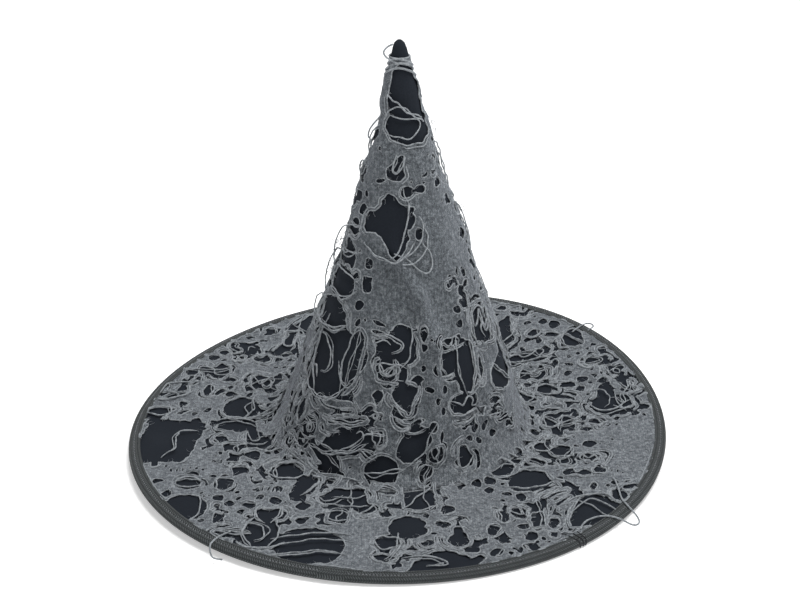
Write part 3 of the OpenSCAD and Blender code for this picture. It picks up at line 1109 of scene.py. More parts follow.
# Yarns that a tear leaves behind, in the same box as its outline.
STRANDS = {
    "chord": [(-1.15, 0.3), (-0.4, 0.05), (0.4, 0.1), (1.15, 0.4)],
    "sag": [(-1.15, 0.5), (-0.6, -0.15), (0, -0.4), (0.6, -0.1), (1.15, 0.6)],
    "arch": [(-1.15, -0.4), (-0.6, 0.2), (0, 0.42), (0.6, 0.2), (1.15, -0.3)],
    "rise": [(-1.1, -0.75), (-0.4, -0.35), (0.35, 0.25), (1.1, 0.8)],
    "fall": [(-1.1, 0.75), (-0.4, 0.4), (0.3, -0.25), (1.1, -0.85)],
    "post": [(-0.1, 1.2), (0.08, 0.5), (-0.12, -0.1), (0.1, -0.6), (0, -1.2)],
    "posts": [(0.35, 1.2), (0.5, 0.5), (0.3, -0.1), (0.55, -0.6), (0.4, -1.2)],
    "left": [(-0.45, 1.15), (-0.72, 0.5), (-0.7, -0.25), (-0.5, -0.75), (-0.2, -1.15)],
    "right": [(0.45, 1.15), (0.72, 0.45), (0.66, -0.3), (0.45, -0.75), (0.15, -1.15)],
    "low": [(-1.15, -0.15), (-0.6, -0.68), (0, -0.78), (0.6, -0.66), (1.15, -0.1)],
    "lower": [(-1.1, -0.6), (-0.5, -0.95), (0.1, -1), (0.6, -0.9), (1.1, -0.5)],
    "top": [(-1.15, 0.2), (-0.6, 0.66), (0, 0.75), (0.6, 0.68), (1.15, 0.25)],
    "loop": [(-0.55, 1.15), (-0.6, 0.35), (-0.35, -0.3), (0.1, -0.35), (0.35, 0.2), (0.3, 1.1)],
    "bight": [(-1.1, 0.5), (-0.3, 0.55), (0.35, 0.25), (0.3, -0.3), (-0.2, -0.55),
              (-1.1, -0.6)],
    "bar": [(-1.15, -0.3), (-0.3, 0.05), (0.4, 0.2), (1.15, 0.4)],
    "bar_low": [(-1.1, -0.8), (-0.3, -0.45), (0.4, -0.3), (1.15, -0.2)],
    "bar_top": [(-1.1, 0.1), (-0.3, 0.45), (0.4, 0.7), (1.15, 0.85)],
    "hook": [(-1.1, 0.55), (-0.4, 0.5), (0.1, 0.15), (0.05, -0.35), (-0.35, -0.45)],
    "tail": [(0.9, 0.6), (0.45, 0.35), (0.3, -0.1), (0.45, -0.45), (0.2, -0.75)],
    "zig": [(-1.1, 0.6), (-0.6, 0.5), (-0.2, -0.2), (0.05, 0.1), (0.3, 0.65), (0.6, 0.2),
            (0.55, -0.5), (1.1, -0.8)],
    "curl": [(-0.9, -0.3), (-0.4, 0.1), (0.05, 0.35), (0.45, 0.1), (0.25, -0.35), (-0.15, -0.2),
             (-0.05, 0.25), (0.4, 0.6), (1, 0.7)],
    "ess": [(-1.1, 0.1), (-0.5, 0.5), (0, 0.15), (0.3, -0.45), (0.7, -0.45), (1.1, 0.1)],
}

# Tears of the brim, on the flat brim: x, y, across, deep, turn, outline, yarns left behind. A tear
# marked bare gets no more yarns or gaps than the ones named.
BRIM_TEARS = [
    (72, -68, 15, 20, -22, "oval"), (91, -85, 29, 25, 8, "egg", "bare low"),
    (13, -106, 20, 29, 4, "quad", "rise posts"), (-33, -108, 20, 22, 0, "quad", "post chord"),
    (6, -142, 25, 26, 0, "egg", "bare"), (-8, -163, 16, 24, -10, "kite", "sag"),
    (39, -150, 14, 24, 0, "pear"), (28, -181, 42, 20, 0, "dome", "bare hook"),
    (63, -145, 9, 12, 0, "oval"), (70, -129, 9, 14, 0, "oval"), (82, -124, 12, 20, 25, "slit", "zig"),
    (93, -131, 9, 20, 0, "quad"), (104, -137, 8, 14, -10, "egg"),
    (-58, -163, 40, 36, -10, "oval", "bare bar bar_low bar_top"),
    (-169, -38, 40, 52, -6, "quad", "bare tail"), (-141, -121, 25, 27, 0, "oval", "bare right"),
    (-120, 15, 25, 30, 0, "oval", "lower tail"), (-120, -9, 26, 17, -8, "dome", "arch top"),
    (-143, -92, 15, 14, 0, "oval", "low"), (-120, -90, 12, 14, 0, "oval"),
    (-112, 96, 17, 12, 5, "bean"), (-135, 118, 17, 16, 25, "oval", "post"),
    (-122, 111, 6, 14, 30, "slit"), (-116, 108, 5, 12, 30, "slit"),
    (-90, 128, 20, 40, -8, "wedge", "loop tail"), (-92, 103, 7, 10, 0, "oval"),
    (-82, 100, 6, 9, 0, "oval"), (-153, 74, 27, 24, 0, "bean", "chord ess"),
    (-165, 62, 14, 18, 20, "rag", "rise fall"), (-106, 54, 27, 27, 0, "rag", "curl zig"),
    (-150, 41, 10, 15, 10, "egg"), (-141, 39, 9, 12, -30, "slit"), (-131, 36, 12, 7, -25, "slit"),
    (-88, 17, 7, 13, 0, "oval"), (-105, -28, 14, 20, 15, "egg", "loop"),
    (-95, -34, 16, 20, -20, "flask", "top"), (-119, -43, 15, 15, 0, "bean", "tail"),
    (-130, -31, 11, 12, 20, "egg"), (-86, -126, 20, 16, 0, "bean", "top"),
    (-89, -149, 24, 30, 0, "egg", "left hook"), (-108, -150, 20, 13, -12, "slit", "chord"),
    (-79, -74, 21, 22, 0, "oval", "left"), (-65, -90, 16, 20, -20, "quad", "right"),
    (-112, -73, 12, 16, -20, "kite"), (-48, -107, 14, 16, 0, "slit", "sag"),
    (-41, -129, 12, 14, -15, "quad", "post"), (-22, -121, 16, 12, 20, "quad", "rise"),
    (-64, -134, 10, 9, 15, "slit"), (139, 111, 18, 22, 0, "dome", "fall"),
    (160, 19, 27, 36, 0, "flask", "hook"), (172, 14, 14, 22, 10, "rag", "zig"),
    (113, -3, 12, 22, 0, "egg", "fall"), (124, -8, 14, 20, -15, "quad", "sag rise"),
    (134, -2, 12, 13, 0, "oval", "post"), (148, -9, 14, 16, 0, "egg", "ess"),
    (106, -36, 15, 24, -30, "wedge", "fall left"), (116, -47, 17, 16, -25, "egg", "low"),
    (119, -62, 13, 11, 0, "oval", "loop"), (137, -58, 18, 10, -15, "rag", "zig"),
    (132, -122, 30, 36, 0, "dome", "arch fall"), (152, -106, 10, 14, 0, "oval"),
    (161, -97, 14, 8, 10, "slit"), (101, -98, 20, 6, 32, "stripe"), (108, -104, 22, 6, 32, "stripe"),
    (112, -113, 14, 6, 30, "stripe"), (81, -64, 20, 8, 28, "stripe", "ess"),
    (104, 91, 34, 18, 5, "rag", "ess zig"), (106, 66, 22, 18, 0, "bean", "curl chord"),
    (90, 84, 14, 12, 30, "rag", "fall"), (113, 44, 20, 14, -25, "egg", "arch"),
    (124, 27, 22, 7, -28, "slit"), (143, 50, 9, 9, 0, "oval"), (133, 61, 8, 7, 20, "slit"),
    (158, 74, 18, 14, -15, "bean", "bight"), (170, 57, 16, 16, 10, "rag", "curl"),
    (178, 34, 14, 20, 15, "rag", "zig rise"), (109, 122, 12, 9, 20, "slit"),
    (124, 117, 14, 7, -10, "rag"), (84, -4, 10, 18, 35, "slit", "rise"), (98, 16, 8, 6, 0, "oval"),
    (118, 12, 9, 6, -20, "slit"), (62, -97, 7, 7, 0, "oval"), (63, -85, 8, 10, 10, "oval"),
    (74, -101, 8, 5, -10, "oval"), (33, -121, 9, 10, 20, "oval"), (48, -167, 10, 9, 0, "egg"),
    (55, -159, 9, 8, 20, "rag"), (41, -132, 8, 6, 15, "slit"), (-10, -176, 14, 8, -8, "slit"),
]

# Rows of small slots: start x, y, end x, y, how many, slot length and width.
BRIM_ROWS = [
    (74, -169, 97, -155, 6, 4.5, 3.4), (62, -163, 88, -147, 8, 2.8, 2.0),
    (-98, -96, -66, -99, 10, 7.5, 2.0), (-104, -107, -72, -112, 10, 2.6, 2.2),
    (-136, -108, -118, -106, 5, 3.6, 2.6), (-188, 14, -142, 15, 13, 3.0, 2.2),
    (-182, 8, -150, 9, 8, 2.4, 1.9), (-160, -76, -134, -74, 6, 5.0, 2.4),
    (96, -119, 116, -125, 5, 5.5, 2.2), (58, -30, 78, -20, 4, 3.0, 2.0),
    (150, -20, 118, -20, 7, 4.5, 2.4), (-128, -62, -104, -62, 5, 6.0, 2.4),
    (176, -70, 182, -40, 6, 2.6, 1.8), (-60, -118, -30, -122, 5, 2.4, 2.0),
    (-100, 76, -120, 66, 4, 2.6, 2.2), (140, -70, 160, -80, 5, 3.6, 2.2),
]

# Tears of the crown: angle, height, across, tall, turn, outline, yarns left behind.
CROWN_TEARS = [
    (-76, 265, 21, 33, 0, "dome"), (-75, 242, 30, 21, 0, "egg", "bight"),
    (-99, 215, 12, 16, -15, "flask", "loop"), (-124, 205, 9, 3.5, 15, "slit"),
    (-85, 200, 9, 7, 20, "egg"), (-67, 201, 7, 5.5, 0, "oval"),
    (-108, 178, 31, 38, 0, "cross", "right lower"), (-82, 179, 5, 11, -10, "slit"),
    (-75, 172, 5, 8, -10, "oval"), (-22, 188, 8, 8, 0, "rag"), (-13, 160, 6, 9, 0, "slit"),
    (-124, 150, 6, 7, 0, "oval"), (-123, 136, 7, 10, 0, "quad"), (-127, 121, 6, 8, -20, "oval"),
    (-153, 170, 14, 12, 0, "dome", "chord low"), (-156, 152, 24, 16, 0, "dome", "chord sag"),
    (-151, 131, 28, 20, 0, "egg", "low top"), (-154, 108, 36, 21, 0, "dome", "low lower"),
    (-109, 112, 11, 3.2, -15, "slit"), (-108, 106, 12, 3.2, -15, "slit"),
    (-107, 100, 9, 4, -10, "slit"), (-141, 79, 38, 43, 4, "egg", "hook left"),
    (-124, 84, 14, 38, -6, "egg", "post"), (-94, 100, 23, 23, 0, "dome", "bare right hook"),
    (-105, 98, 9, 10, 0, "oval"), (-99, 82, 18, 12, 0, "quad", "curl zig loop"),
    (-104, 88, 5, 4, 0, "oval"), (-78, 107, 4.5, 13, 0, "slit"), (-78, 98, 4, 8, 0, "slit"),
    (-79, 84, 3.5, 6, 0, "slit"), (-82, 76, 8, 8, 0, "kite"), (-64, 86, 12, 17, 0, "quad"),
    (-59, 97, 17, 8, 0, "quad", "post zig"), (-51, 79, 18, 32, -4, "egg", "bare left right"),
    (-40, 72, 5, 18, -4, "slit"), (-33, 103, 15, 24, -12, "quad", "zig"),
    (-24, 98, 13, 22, -8, "dome", "loop zig"), (-12, 80, 15, 26, -10, "wedge", "bare fall"),
    (-20, 60, 28, 20, -15, "egg", "bare fall"), (-104, 64, 9, 10, 0, "kite"),
    (-89, 65, 18, 20, 15, "kite"), (-93, 54, 10, 5, -35, "smile"), (-92, 49, 12, 5, -35, "smile"),
    (-56, 55, 21, 13, 0, "oval", "bare zig lower"), (-56, 44, 18, 4, 0, "smile"),
    (-104, 52, 11, 6, 0, "rag", "curl"), (-130, 51, 34, 4.5, -4, "smile"),
    (-120, 44, 28, 7, 6, "stripe", "chord"), (-141, 31, 15, 12, 0, "oval", "curl hook"),
    (-121, 28, 34, 15, 16, "dome", "sag low"), (-128, 16, 26, 5, -14, "smile"),
    (-108, 55, 7, 5, 20, "slit"), (-112, 35, 5, 14, -30, "slit"),
    (-84, 34, 17, 26, -30, "egg", "bare right"), (-98, 16, 22, 19, -24, "egg", "bare rise"),
    (-104, 37, 13, 9, 10, "quad", "post"), (-106, 26, 10, 7, 0, "kite", "fall"),
    (-83, 48, 11, 4.5, 20, "slit"), (-84, 43, 11, 5, 0, "dome", "sag"),
    (-74, 26, 10, 13, 0, "oval", "post loop"), (-79, 14, 9, 13, -20, "slit", "post"),
    (-80, 23, 4, 10, -10, "slit"), (-71, 37, 3.5, 10, 0, "slit"), (-69, 29, 3, 6, 0, "slit"),
    (-60, 20, 15, 13, 0, "flask"), (-55, 30, 6, 4, -30, "oval"), (-50, 26, 6, 4, -30, "oval"),
    (-44, 34, 9, 5, 25, "egg"), (-36, 38, 15, 6, -25, "slit", "rise"),
    (-31, 32, 11, 8, -30, "slit", "rise"), (-26, 26, 11, 7, -10, "rag", "ess"),
    (-34, 47, 13, 5, -20, "slit"), (-40, 26, 7, 5, 0, "oval"), (-72, 62, 4, 5, 0, "oval"),
    (-69, 54, 4, 5, 0, "oval"), (-67, 68, 4, 6, 0, "oval"), (-152, 60, 9, 26, 5, "slit", "left"),
    (-158, 44, 8, 18, 0, "slit", "post"), (-160, 24, 11, 12, 0, "rag", "curl"),
    (-150, 14, 12, 9, 0, "rag", "zig"), (-138, 7, 26, 4, -6, "slit"),
    (-150, 36, 9, 16, 18, "slit", "left"), (-142, 20, 14, 9, 0, "oval", "curl"),
    (-160, 34, 8, 13, 10, "slit"), (-120, 5.5, 16, 3, 4, "slit"), (-168, 205, 12, 12, 0, "rag", "loop"),
    (-172, 228, 9, 16, -15, "slit"), (-160, 190, 9, 8, 0, "oval"), (-172, 185, 9, 10, 0, "oval"),
    (-165, 160, 9, 14, 0, "rag", "zig"), (-168, 100, 14, 18, 0, "dome", "sag low"),
    (-4, 214, 9, 14, 0, "rag", "zig"), (-6, 178, 7, 12, -15, "slit"),
    (-8, 140, 10, 18, -10, "rag", "zig"), (-2, 112, 9, 20, 0, "slit", "ess"),
]

# Scattered small holes: angle or x, height or y, across, tall, how many, smallest, largest.
CROWN_SCATTERS = [
    (-42, 212, 18, 22, 18, 2.2, 4.2), (-42, 129, 21, 26, 17, 3.0, 6.6), (-22, 192, 16, 12, 4, 1.6, 3.0),
    (-12, 124, 14, 34, 10, 3.0, 6.5), (-68, 60, 8, 26, 6, 1.4, 2.6), (-128, 200, 14, 10, 3, 1.2, 2.2),
    (-20, 158, 14, 12, 3, 1.5, 3.0), (-155, 150, 12, 20, 5, 1.8, 3.6),
]
BRIM_SCATTERS = [
    (160, 46, 30, 40, 12, 2.2, 6.0), (96, 108, 44, 26, 9, 2.4, 6.0), (84, -142, 26, 20, 8, 1.6, 3.4),
    (-128, -52, 30, 22, 7, 2.2, 4.5), (150, -46, 30, 30, 7, 1.6, 3.6),
    (-118, -128, 40, 20, 8, 1.4, 3.0), (140, 12, 30, 22, 8, 2.4, 5.5), (-96, 20, 22, 26, 8, 1.6, 4.0),
    (-160, -56, 20, 16, 6, 2.0, 4.6), (-70, -116, 36, 14, 6, 1.2, 2.4), (-86, 84, 24, 22, 7, 2.0, 5.0),
    (24, -128, 20, 14, 4, 1.2, 2.6), (112, -22, 22, 14, 6, 1.8, 4.0), (-88, -84, 30, 16, 8, 2.6, 5.5),
]


# Whole stretches, without tears: x or angle, y or height, and how far round.
BRIM_PLAIN = [(168, -44, 24), (182, -20, 10), (50, -114, 12), (52, -132, 13), (-32, -150, 17),
              (-140, -66, 14), (-150, 26, 12), (-116, 76, 14), (-22, -140, 8), (-30, -178, 10),
              (168, -76, 11)]
CROWN_PLAIN = [(-88, 138, 22), (-50, 172, 22), (-62, 150, 18), (-118, 160, 9), (-70, 222, 8),
               (-48, 20, 9), (-70, 12, 8), (-60, 40, 7)]


def areas(verts, tris):
    """The triangles' areas."""
    a, b = verts[tris[:, 1]] - verts[tris[:, 0]], verts[tris[:, 2]] - verts[tris[:, 0]]
    return np.abs(a[:, 0] * b[:, 1] - a[:, 1] * b[:, 0]) / 2


class Gauze:
    """A sheet of torn knit laid out flat, with the yarns that edge and cross its tears."""

    CELL = 2.6                      # between the points inside the sheet
    EDGE_STEP = 1.15                # between the points of a tear's rim
    THICK = 0.6
    GROW = 1.13                     # tears are so much larger than their tables say
    CRUMB = 25                      # square millimetres: smaller parts fall away
    ROLLED = 0.8                    # how much cloth is rolled up in a rim
    HOVER = 0.85                    # the sheet's usual height over the cloth
    RIM_YARNS = (8, 30, 70), (0.3, 0.4, 0.5)        # rims' lengths and their yarns' radii
    FUZZ_EVERY = 3                  # rim points from one loose fibre to the next
    FUZZ_R = 0.12

    def __init__(self, lift, spot, outlines, keep, within, seed, calm_above=math.inf):
        self.lift = lift            # flat points and heights to places and normals
        self.spot = spot            # a tear's centre and millimetres from it to flat points
        self.outlines = outlines    # the sheet's own edges
        self.keep = keep            # which flat points are on the sheet
        self.within = within        # flat points moved back onto the sheet
        self.calm_above = calm_above        # every tear whose second number is above this is bare
        self.rng = np.random.default_rng(seed)
        self.seed = seed
        self.holes = []             # every tear's rim, on the flat sheet
        self.centres = []           # where the larger tears are, and how large
        self.strands = []           # yarns across tears: line, radius and the tear's size

    # -- laying out

    def put(self, centre, size, turn, form):
        """A form of half-width 1 at its place and size on the sheet."""
        return self.spot(centre, turned(np.asarray(form, float) * size / 2, turn))

    def tear(self, u, v, across, tall, turn, outline, yarns=""):
        """One tear and the yarns across it."""
        rng = self.rng
        yarns = yarns.split()
        across, tall = across * self.GROW, tall * self.GROW
        size = np.array([across, tall])
        form = closed_spline(SHAPES[outline], 10)
        phi = np.arctan2(form[:, 1], form[:, 0])
        wobble = sum(
            rng.uniform(-1, 1) * np.cos(k * phi + rng.uniform(0, TURN)) / k for k in (2, 3, 5)
        )
        ring = self.put((u, v), size, turn, form * (1 + 0.10 * wobble)[:, None])
        ring = even_steps(ring, self.EDGE_STEP, True)
        rough = ripple(ring, 6, int(rng.integers(1 << 30)), 6)
        ring = ring + sideways(ring, True) * (0.028 * min(across, tall, 18) * rough)[:, None]
        self.holes.append(ring)
        self.centres.append((*ring.mean(0), (across + tall) / 4))
        large = max(across, tall)
        bare = "bare" in yarns or v >= self.calm_above
        more = 0 if bare else int(large > 13) + int(rng.integers(0, 2))
        along_rim = ("left", "right", "low", "lower", "top")
        if large > 10:
            yarns += rng.choice(along_rim, more, replace=False).tolist()
        for name in yarns:
            if name == "bare":
                continue
            line = STRANDS[name] + rng.normal(0, 0.06, (len(STRANDS[name]), 2))
            line = self.put((u, v), size, turn, line)
            self.strands.append((line, rng.uniform(0.42, 0.6), min(across, tall)))
        if large > 13 and not bare:
            self.crescents(ring, large)

    def crescents(self, ring, size):
        """Narrow gaps beside a tear, which leave bands of yarns along its rim."""
        rng = self.rng
        out = sideways(ring, True)
        if np.dot(out[0], ring[0] - ring.mean(0)) < 0:
            out = -out
        n = len(ring)
        fine = int(size / 6)
        for k in range(fine + 2):
            start, long = rng.integers(n), int(n * rng.uniform(0.12, 0.32))
            pick = (start + np.arange(long)) % n
            t = np.sin(np.linspace(0, math.pi, long))[:, None]
            if k < fine:
                gap = 1.4 + 2.3 * int(rng.integers(0, 1 + int(size > 15) + int(size > 24)))
                wide = rng.uniform(0.8, 2.0)
            else:
                gap = rng.uniform(1.4, 2.4)
                wide = rng.uniform(2.2, 4.2)
            inner = ring[pick] + out[pick] * (gap + 0.3 * t)
            outer = ring[pick] + out[pick] * (gap + 0.2 + wide * t)
            self.holes.append(np.vstack([inner, outer[::-1]]))

    def row(self, x0, y0, x1, y1, count, long, wide):
        """A ladder of small slots across the way from one end to the other."""
        rng = self.rng
        way = math.degrees(math.atan2(y1 - y0, x1 - x0))
        for t in (np.arange(count) + 0.5) / count:
            u = x0 + (x1 - x0) * t + rng.normal(0, 0.4)
            v = y0 + (y1 - y0) * t + rng.normal(0, 0.6)
            size = np.array([wide * rng.uniform(0.7, 1.2), long * rng.uniform(0.7, 1.25)])
            ring = self.put((u, v), size, way + rng.normal(0, 8), closed_spline(SHAPES["oval"], 3))
            self.holes.append(even_steps(ring, 0.9, True))

    def scatter(self, u, v, across, tall, count, small, large):
        """Small holes strewn over an area."""
        rng = self.rng
        for _ in range(count):
            off = rng.uniform(-0.5, 0.5, 2) * (across, tall)
            centre = self.spot((u, v), off[None])[0]
            size = rng.uniform(small, large, 2) * (1, rng.uniform(0.8, 1.6))
            tilt = rng.uniform(-40, 40)
            form = closed_spline(SHAPES[str(rng.choice(SMALL_SHAPES))], 4)
            self.holes.append(even_steps(centre + turned(form * size / 2, tilt), 0.9, True))

    def near_another(self, u, v, space):
        """Whether a larger tear or a stretch to be left whole is within the space round a place."""
        at = self.spot((u, v), np.zeros((1, 2)))[0]
        return any(math.hypot(at[0] - x, at[1] - y) < r + space for x, y, r in self.centres)

    def lay_out(self, tears, rows, scatters):
        """All the tears that the tables list."""
        for tear in tears:
            self.tear(*tear)
        for row in rows:
            self.row(*row)
        for area in scatters:
            self.scatter(*area)

    def fill(self, pick, count, largest, smallest, gap):
        """More tears of mixed shapes where none is near, at places that pick() draws."""
        rng = self.rng
        for size in np.linspace(largest, smallest, count):
            for _ in range(30):
                u, v = pick(rng)
                if self.near_another(u, v, size / 2 + gap):
                    continue
                shape = str(rng.choice(LARGE_SHAPES if size > 9 else SMALL_SHAPES))
                some = int(rng.integers(0, 3)) if size > 11 else 0
                yarns = rng.choice(list(STRANDS), some, replace=False)
                self.tear(u, v, size * rng.uniform(0.8, 1.25), size * rng.uniform(0.7, 1.2),
                          rng.uniform(-35, 35), shape, " ".join(yarns))
                break

    # -- cutting

    @staticmethod
    def closed_edges(rings):
        """The edges of closed rings whose points are numbered one after the other."""
        edges, at = [], 0
        for ring in rings:
            k = np.arange(len(ring))
            edges += np.stack([at + k, at + (k + 1) % len(ring)], -1).tolist()
            at += len(ring)
        return edges

    def inner_points(self, points):
        """Slightly uneven points over the sheet, clear of the tears' rims and of their insides."""
        lo, hi = points.min(0), points.max(0)
        rows = np.arange(lo[1], hi[1], self.CELL * 0.866)
        cols = np.arange(lo[0], hi[0], self.CELL)
        gx, gy = np.meshgrid(cols, rows)
        gx[1::2] += self.CELL / 2
        grid = np.stack([gx.ravel(), gy.ravel()], -1)
        grid += np.random.default_rng(self.seed).normal(0, 0.35, grid.shape)
        taken = {tuple(c) for c in np.floor(points / 1.2).astype(int)}
        cell = np.floor(grid / 1.2).astype(int)
        free = np.array([(a, b) not in taken for a, b in cell])
        grid = grid[free & self.keep(grid)]
        return grid[~self.in_hole(grid)]

    def cut(self):
        """The sheet between its tears: flat points and triangles."""
        rings = self.outlines + self.holes
        points = np.vstack(rings)
        every = np.vstack([points, self.inner_points(points)])
        edges = self.closed_edges(rings)
        found = delaunay_2d_cdt([Vector(p) for p in every], edges, [], 0, 1e-5, False)
        verts = np.array([tuple(v) for v in found[0]])
        tris = np.array(found[2])
        middle = verts[tris].mean(1)
        tris = tris[self.keep(middle) & ~self.in_hole(middle)]
        tris = self.without_crumbs(tris, verts)
        used, tris = np.unique(tris, return_inverse=True)
        return verts[used], tris.reshape(-1, 3)

    def in_hole(self, points):
        """Which of the points lie in a tear."""
        found = np.zeros(len(points), bool)
        for ring in self.holes:
            found |= inside(points, ring)
        return found

    @staticmethod
    def without_crumbs(tris, verts):
        """Only the triangles that hang together in parts larger than CRUMB."""
        mark = np.arange(len(verts))
        while True:
            least = mark[tris].min(1)
            new = mark.copy()
            for k in range(3):
                np.minimum.at(new, tris[:, k], least)
            new = new[new]
            if (new == mark).all():
                break
            mark = new
        root = mark[tris[:, 0]]
        parts = np.bincount(root, areas(verts, tris), len(verts))
        return tris[parts[root] > Gauze.CRUMB]

    @staticmethod
    def border(tris):
        """The sheet's edges, each with its own triangle's direction."""
        e = np.vstack([tris[:, [0, 1]], tris[:, [1, 2]], tris[:, [2, 0]]])
        key = np.sort(e, 1)
        _, first, count = np.unique(key, axis=0, return_index=True, return_counts=True)
        return e[first[count == 1]]

    @staticmethod
    def chains(edges):
        """Border edges joined end to end, as lists of points."""
        after = {}
        for a, b in edges.tolist():
            after.setdefault(a, []).append(b)
        out = []
        while after:
            start = next(iter(after))
            chain, here = [start], start
            while here in after:
                nxt = after[here].pop()
                if not after[here]:
                    del after[here]
                here = nxt
                chain.append(here)
                if here == start:
                    break
            out.append(chain)
        return out

    # -- making

    def heights(self, verts, rim):
        """The sheet's height over the cloth: lifted along its tears and gently uneven."""
        tree = KDTree(len(rim))
        for i, p in enumerate(rim):
            tree.insert((p[0], p[1], 0), i)
        tree.balance()
        near = np.array([tree.find((x, y, 0))[2] for x, y in verts])
        lift = np.exp(-(near / 2.4) ** 2) * (0.45 + 0.35 * ripple(verts, 11, self.seed + 1))
        swell = 0.22 * ripple(verts, 9, self.seed + 2) + 0.1 * ripple(verts, 3.2, self.seed + 3, 14)
        calm = np.clip(near / 1.5, 0, 1)
        return self.HOVER + np.maximum(lift, 0) + swell * (0.5 + 0.5 * calm)

    def sheet(self, name, material):
        """The solid sheet, and its rims as flat lines with their heights."""
        flat, tris = self.cut()
        edges = self.border(tris)
        tall = self.heights(flat, flat[np.unique(edges)])
        top, out = self.lift(flat, tall)
        base = top - out * self.THICK
        n = len(flat)
        walls = np.stack([edges[:, 1], edges[:, 0], edges[:, 0] + n, edges[:, 1] + n], -1)
        faces = tris.tolist() + (tris[:, ::-1] + n).tolist() + walls.tolist()
        piece = make_mesh(name, np.vstack([top, base]), faces, material)
        rolled = self.ROLLED * np.linalg.norm(flat[edges[:, 0]] - flat[edges[:, 1]], axis=1).sum()
        self.area = float(areas(flat, tris).sum() + rolled)
        self.rims = [(flat[c], tall[c]) for c in map(np.array, self.chains(edges))]
        return piece

    def yarns(self, name, skip):
        """The yarns round the tears, and those left hanging across them."""
        rng = self.rng
        batch = Batch()
        for line, tall in self.rims:
            closed = np.allclose(line[0], line[-1])
            if closed:
                line, tall = line[:-1], tall[:-1]
            if len(line) < 5 or skip(line).mean() > 0.5:
                continue
            if closed:
                for _ in range(2):
                    line = (np.roll(line, 1, 0) + 2 * line + np.roll(line, -1, 0)) / 4
            long = np.linalg.norm(np.diff(line, axis=0), axis=1).sum()
            thick = np.interp(long, *self.RIM_YARNS)
            vary = 1 + 0.18 * ripple(line, 4, int(rng.integers(1 << 30)), 6)
            place, out = self.lift(line, tall - 0.3)
            batch.tube(place, out, thick * vary, 6, closed)
            if long > 45:
                self.beside(batch, line, tall, closed, thick)
        for line, thick, span in self.strands:
            self.hang(batch, line, thick, span)
        return batch.make(name, YARN)

    def beside(self, batch, line, tall, closed, thick):
        """A second yarn on stretches of a rim, a little way into the sheet."""
        rng = self.rng
        n = len(line)
        into = -sideways(line, closed)
        for _ in range(max(1, n // 40)):
            long = min(n - 2, int(rng.integers(10, 34)))
            pick = (rng.integers(n) + np.arange(long)) % n
            if not closed and (np.diff(pick) < 0).any():
                continue
            away = rng.uniform(0.6, 1.8) + 0.7 * np.sin(np.linspace(0, math.pi, long))
            flat = line[pick] + into[pick] * away[:, None]
            ends = np.sin(np.linspace(0, math.pi, long)) ** 0.5
            place, out = self.lift(flat, tall[pick] - 0.4 + 0.62 * ends)
            batch.tube(place, out, thick * rng.uniform(0.7, 0.95) * self.taper(long), 6)

    @staticmethod
    def taper(count):
        """Full thickness between two thin ends."""
        t = np.linspace(0, 1, count)
        return 0.3 + 0.7 * np.clip(5 * np.minimum(t, 1 - t), 0, 1)

    def hang(self, batch, line, thick, span):
        """A yarn across a tear, clear of the cloth, and at times a thinner one that leaves it."""
        rng = self.rng
        flat = even_steps(spline(line, 1.0), 1.2)
        t = np.linspace(0, 1, len(flat))
        aside = sideways(flat)
        for k in range(1 + int(rng.uniform() < 0.55)):
            shake = 0.4 * ripple(flat, 12, int(rng.integers(1 << 30)), 6)
            gap = k * rng.uniform(0.9, 2.6) * rng.choice((-1.0, 1.0))
            path = flat + aside * (shake + gap * np.sin(math.pi * t) ** 0.6)[:, None]
            path = self.within(path)
            rise = np.sin(math.pi * t) ** 0.7 * rng.uniform(0.02, 0.09) * span
            place, out = self.lift(path, 0.8 + rise)
            vary = 1 + 0.14 * ripple(flat, 4, int(rng.integers(1 << 30)), 6)
            batch.tube(place, out, thick * (1 - 0.25 * k) * vary * self.taper(len(flat)), 6)

    def fuzz(self, name, skip):
        """Short loose fibres that stand out along the tears' rims."""
        rng = self.rng
        batch = Batch()
        t = np.linspace(0, 1, 6)
        for line, tall in self.rims:
            if len(line) < 6 or skip(line).mean() > 0.5:
                continue
            way = np.gradient(line, axis=0)
            for k in range(int(rng.integers(1, 4)), len(line), self.FUZZ_EVERY):
                turn = math.atan2(way[k, 1], way[k, 0]) + rng.uniform(0, TURN)
                turn = turn + rng.uniform(-2.4, 2.4) * t
                step = rng.uniform(1.0, 4.8) / 5
                path = line[k] + step * np.cumsum(np.stack([np.cos(turn), np.sin(turn)], -1), 0)
                path = self.within(path)
                place, out = self.lift(path, tall[k] - 0.2 + rng.uniform(0.1, 1.3) * t)
                batch.tube(place, out, self.FUZZ_R * (1 - 0.5 * t), 3)
        return batch.make(name, YARN)


def gauze_pieces(web, node, material, hidden, extras=(), **sheet):
    """The net that stands for a CAD node, with its yarns and fibres."""
    net = web.sheet(node + "_net", material)
    parts = [web.yarns(node + "_yarns", hidden), web.fuzz(node + "_fuzz", hidden), *extras]
    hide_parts(node)


def circle(radius, step):
    """Points round a circle, a step apart."""
    a = np.linspace(0, TURN, int(TURN * radius / step), endpoint=False)
    return radius * np.stack([np.cos(a), np.sin(a)], -1)


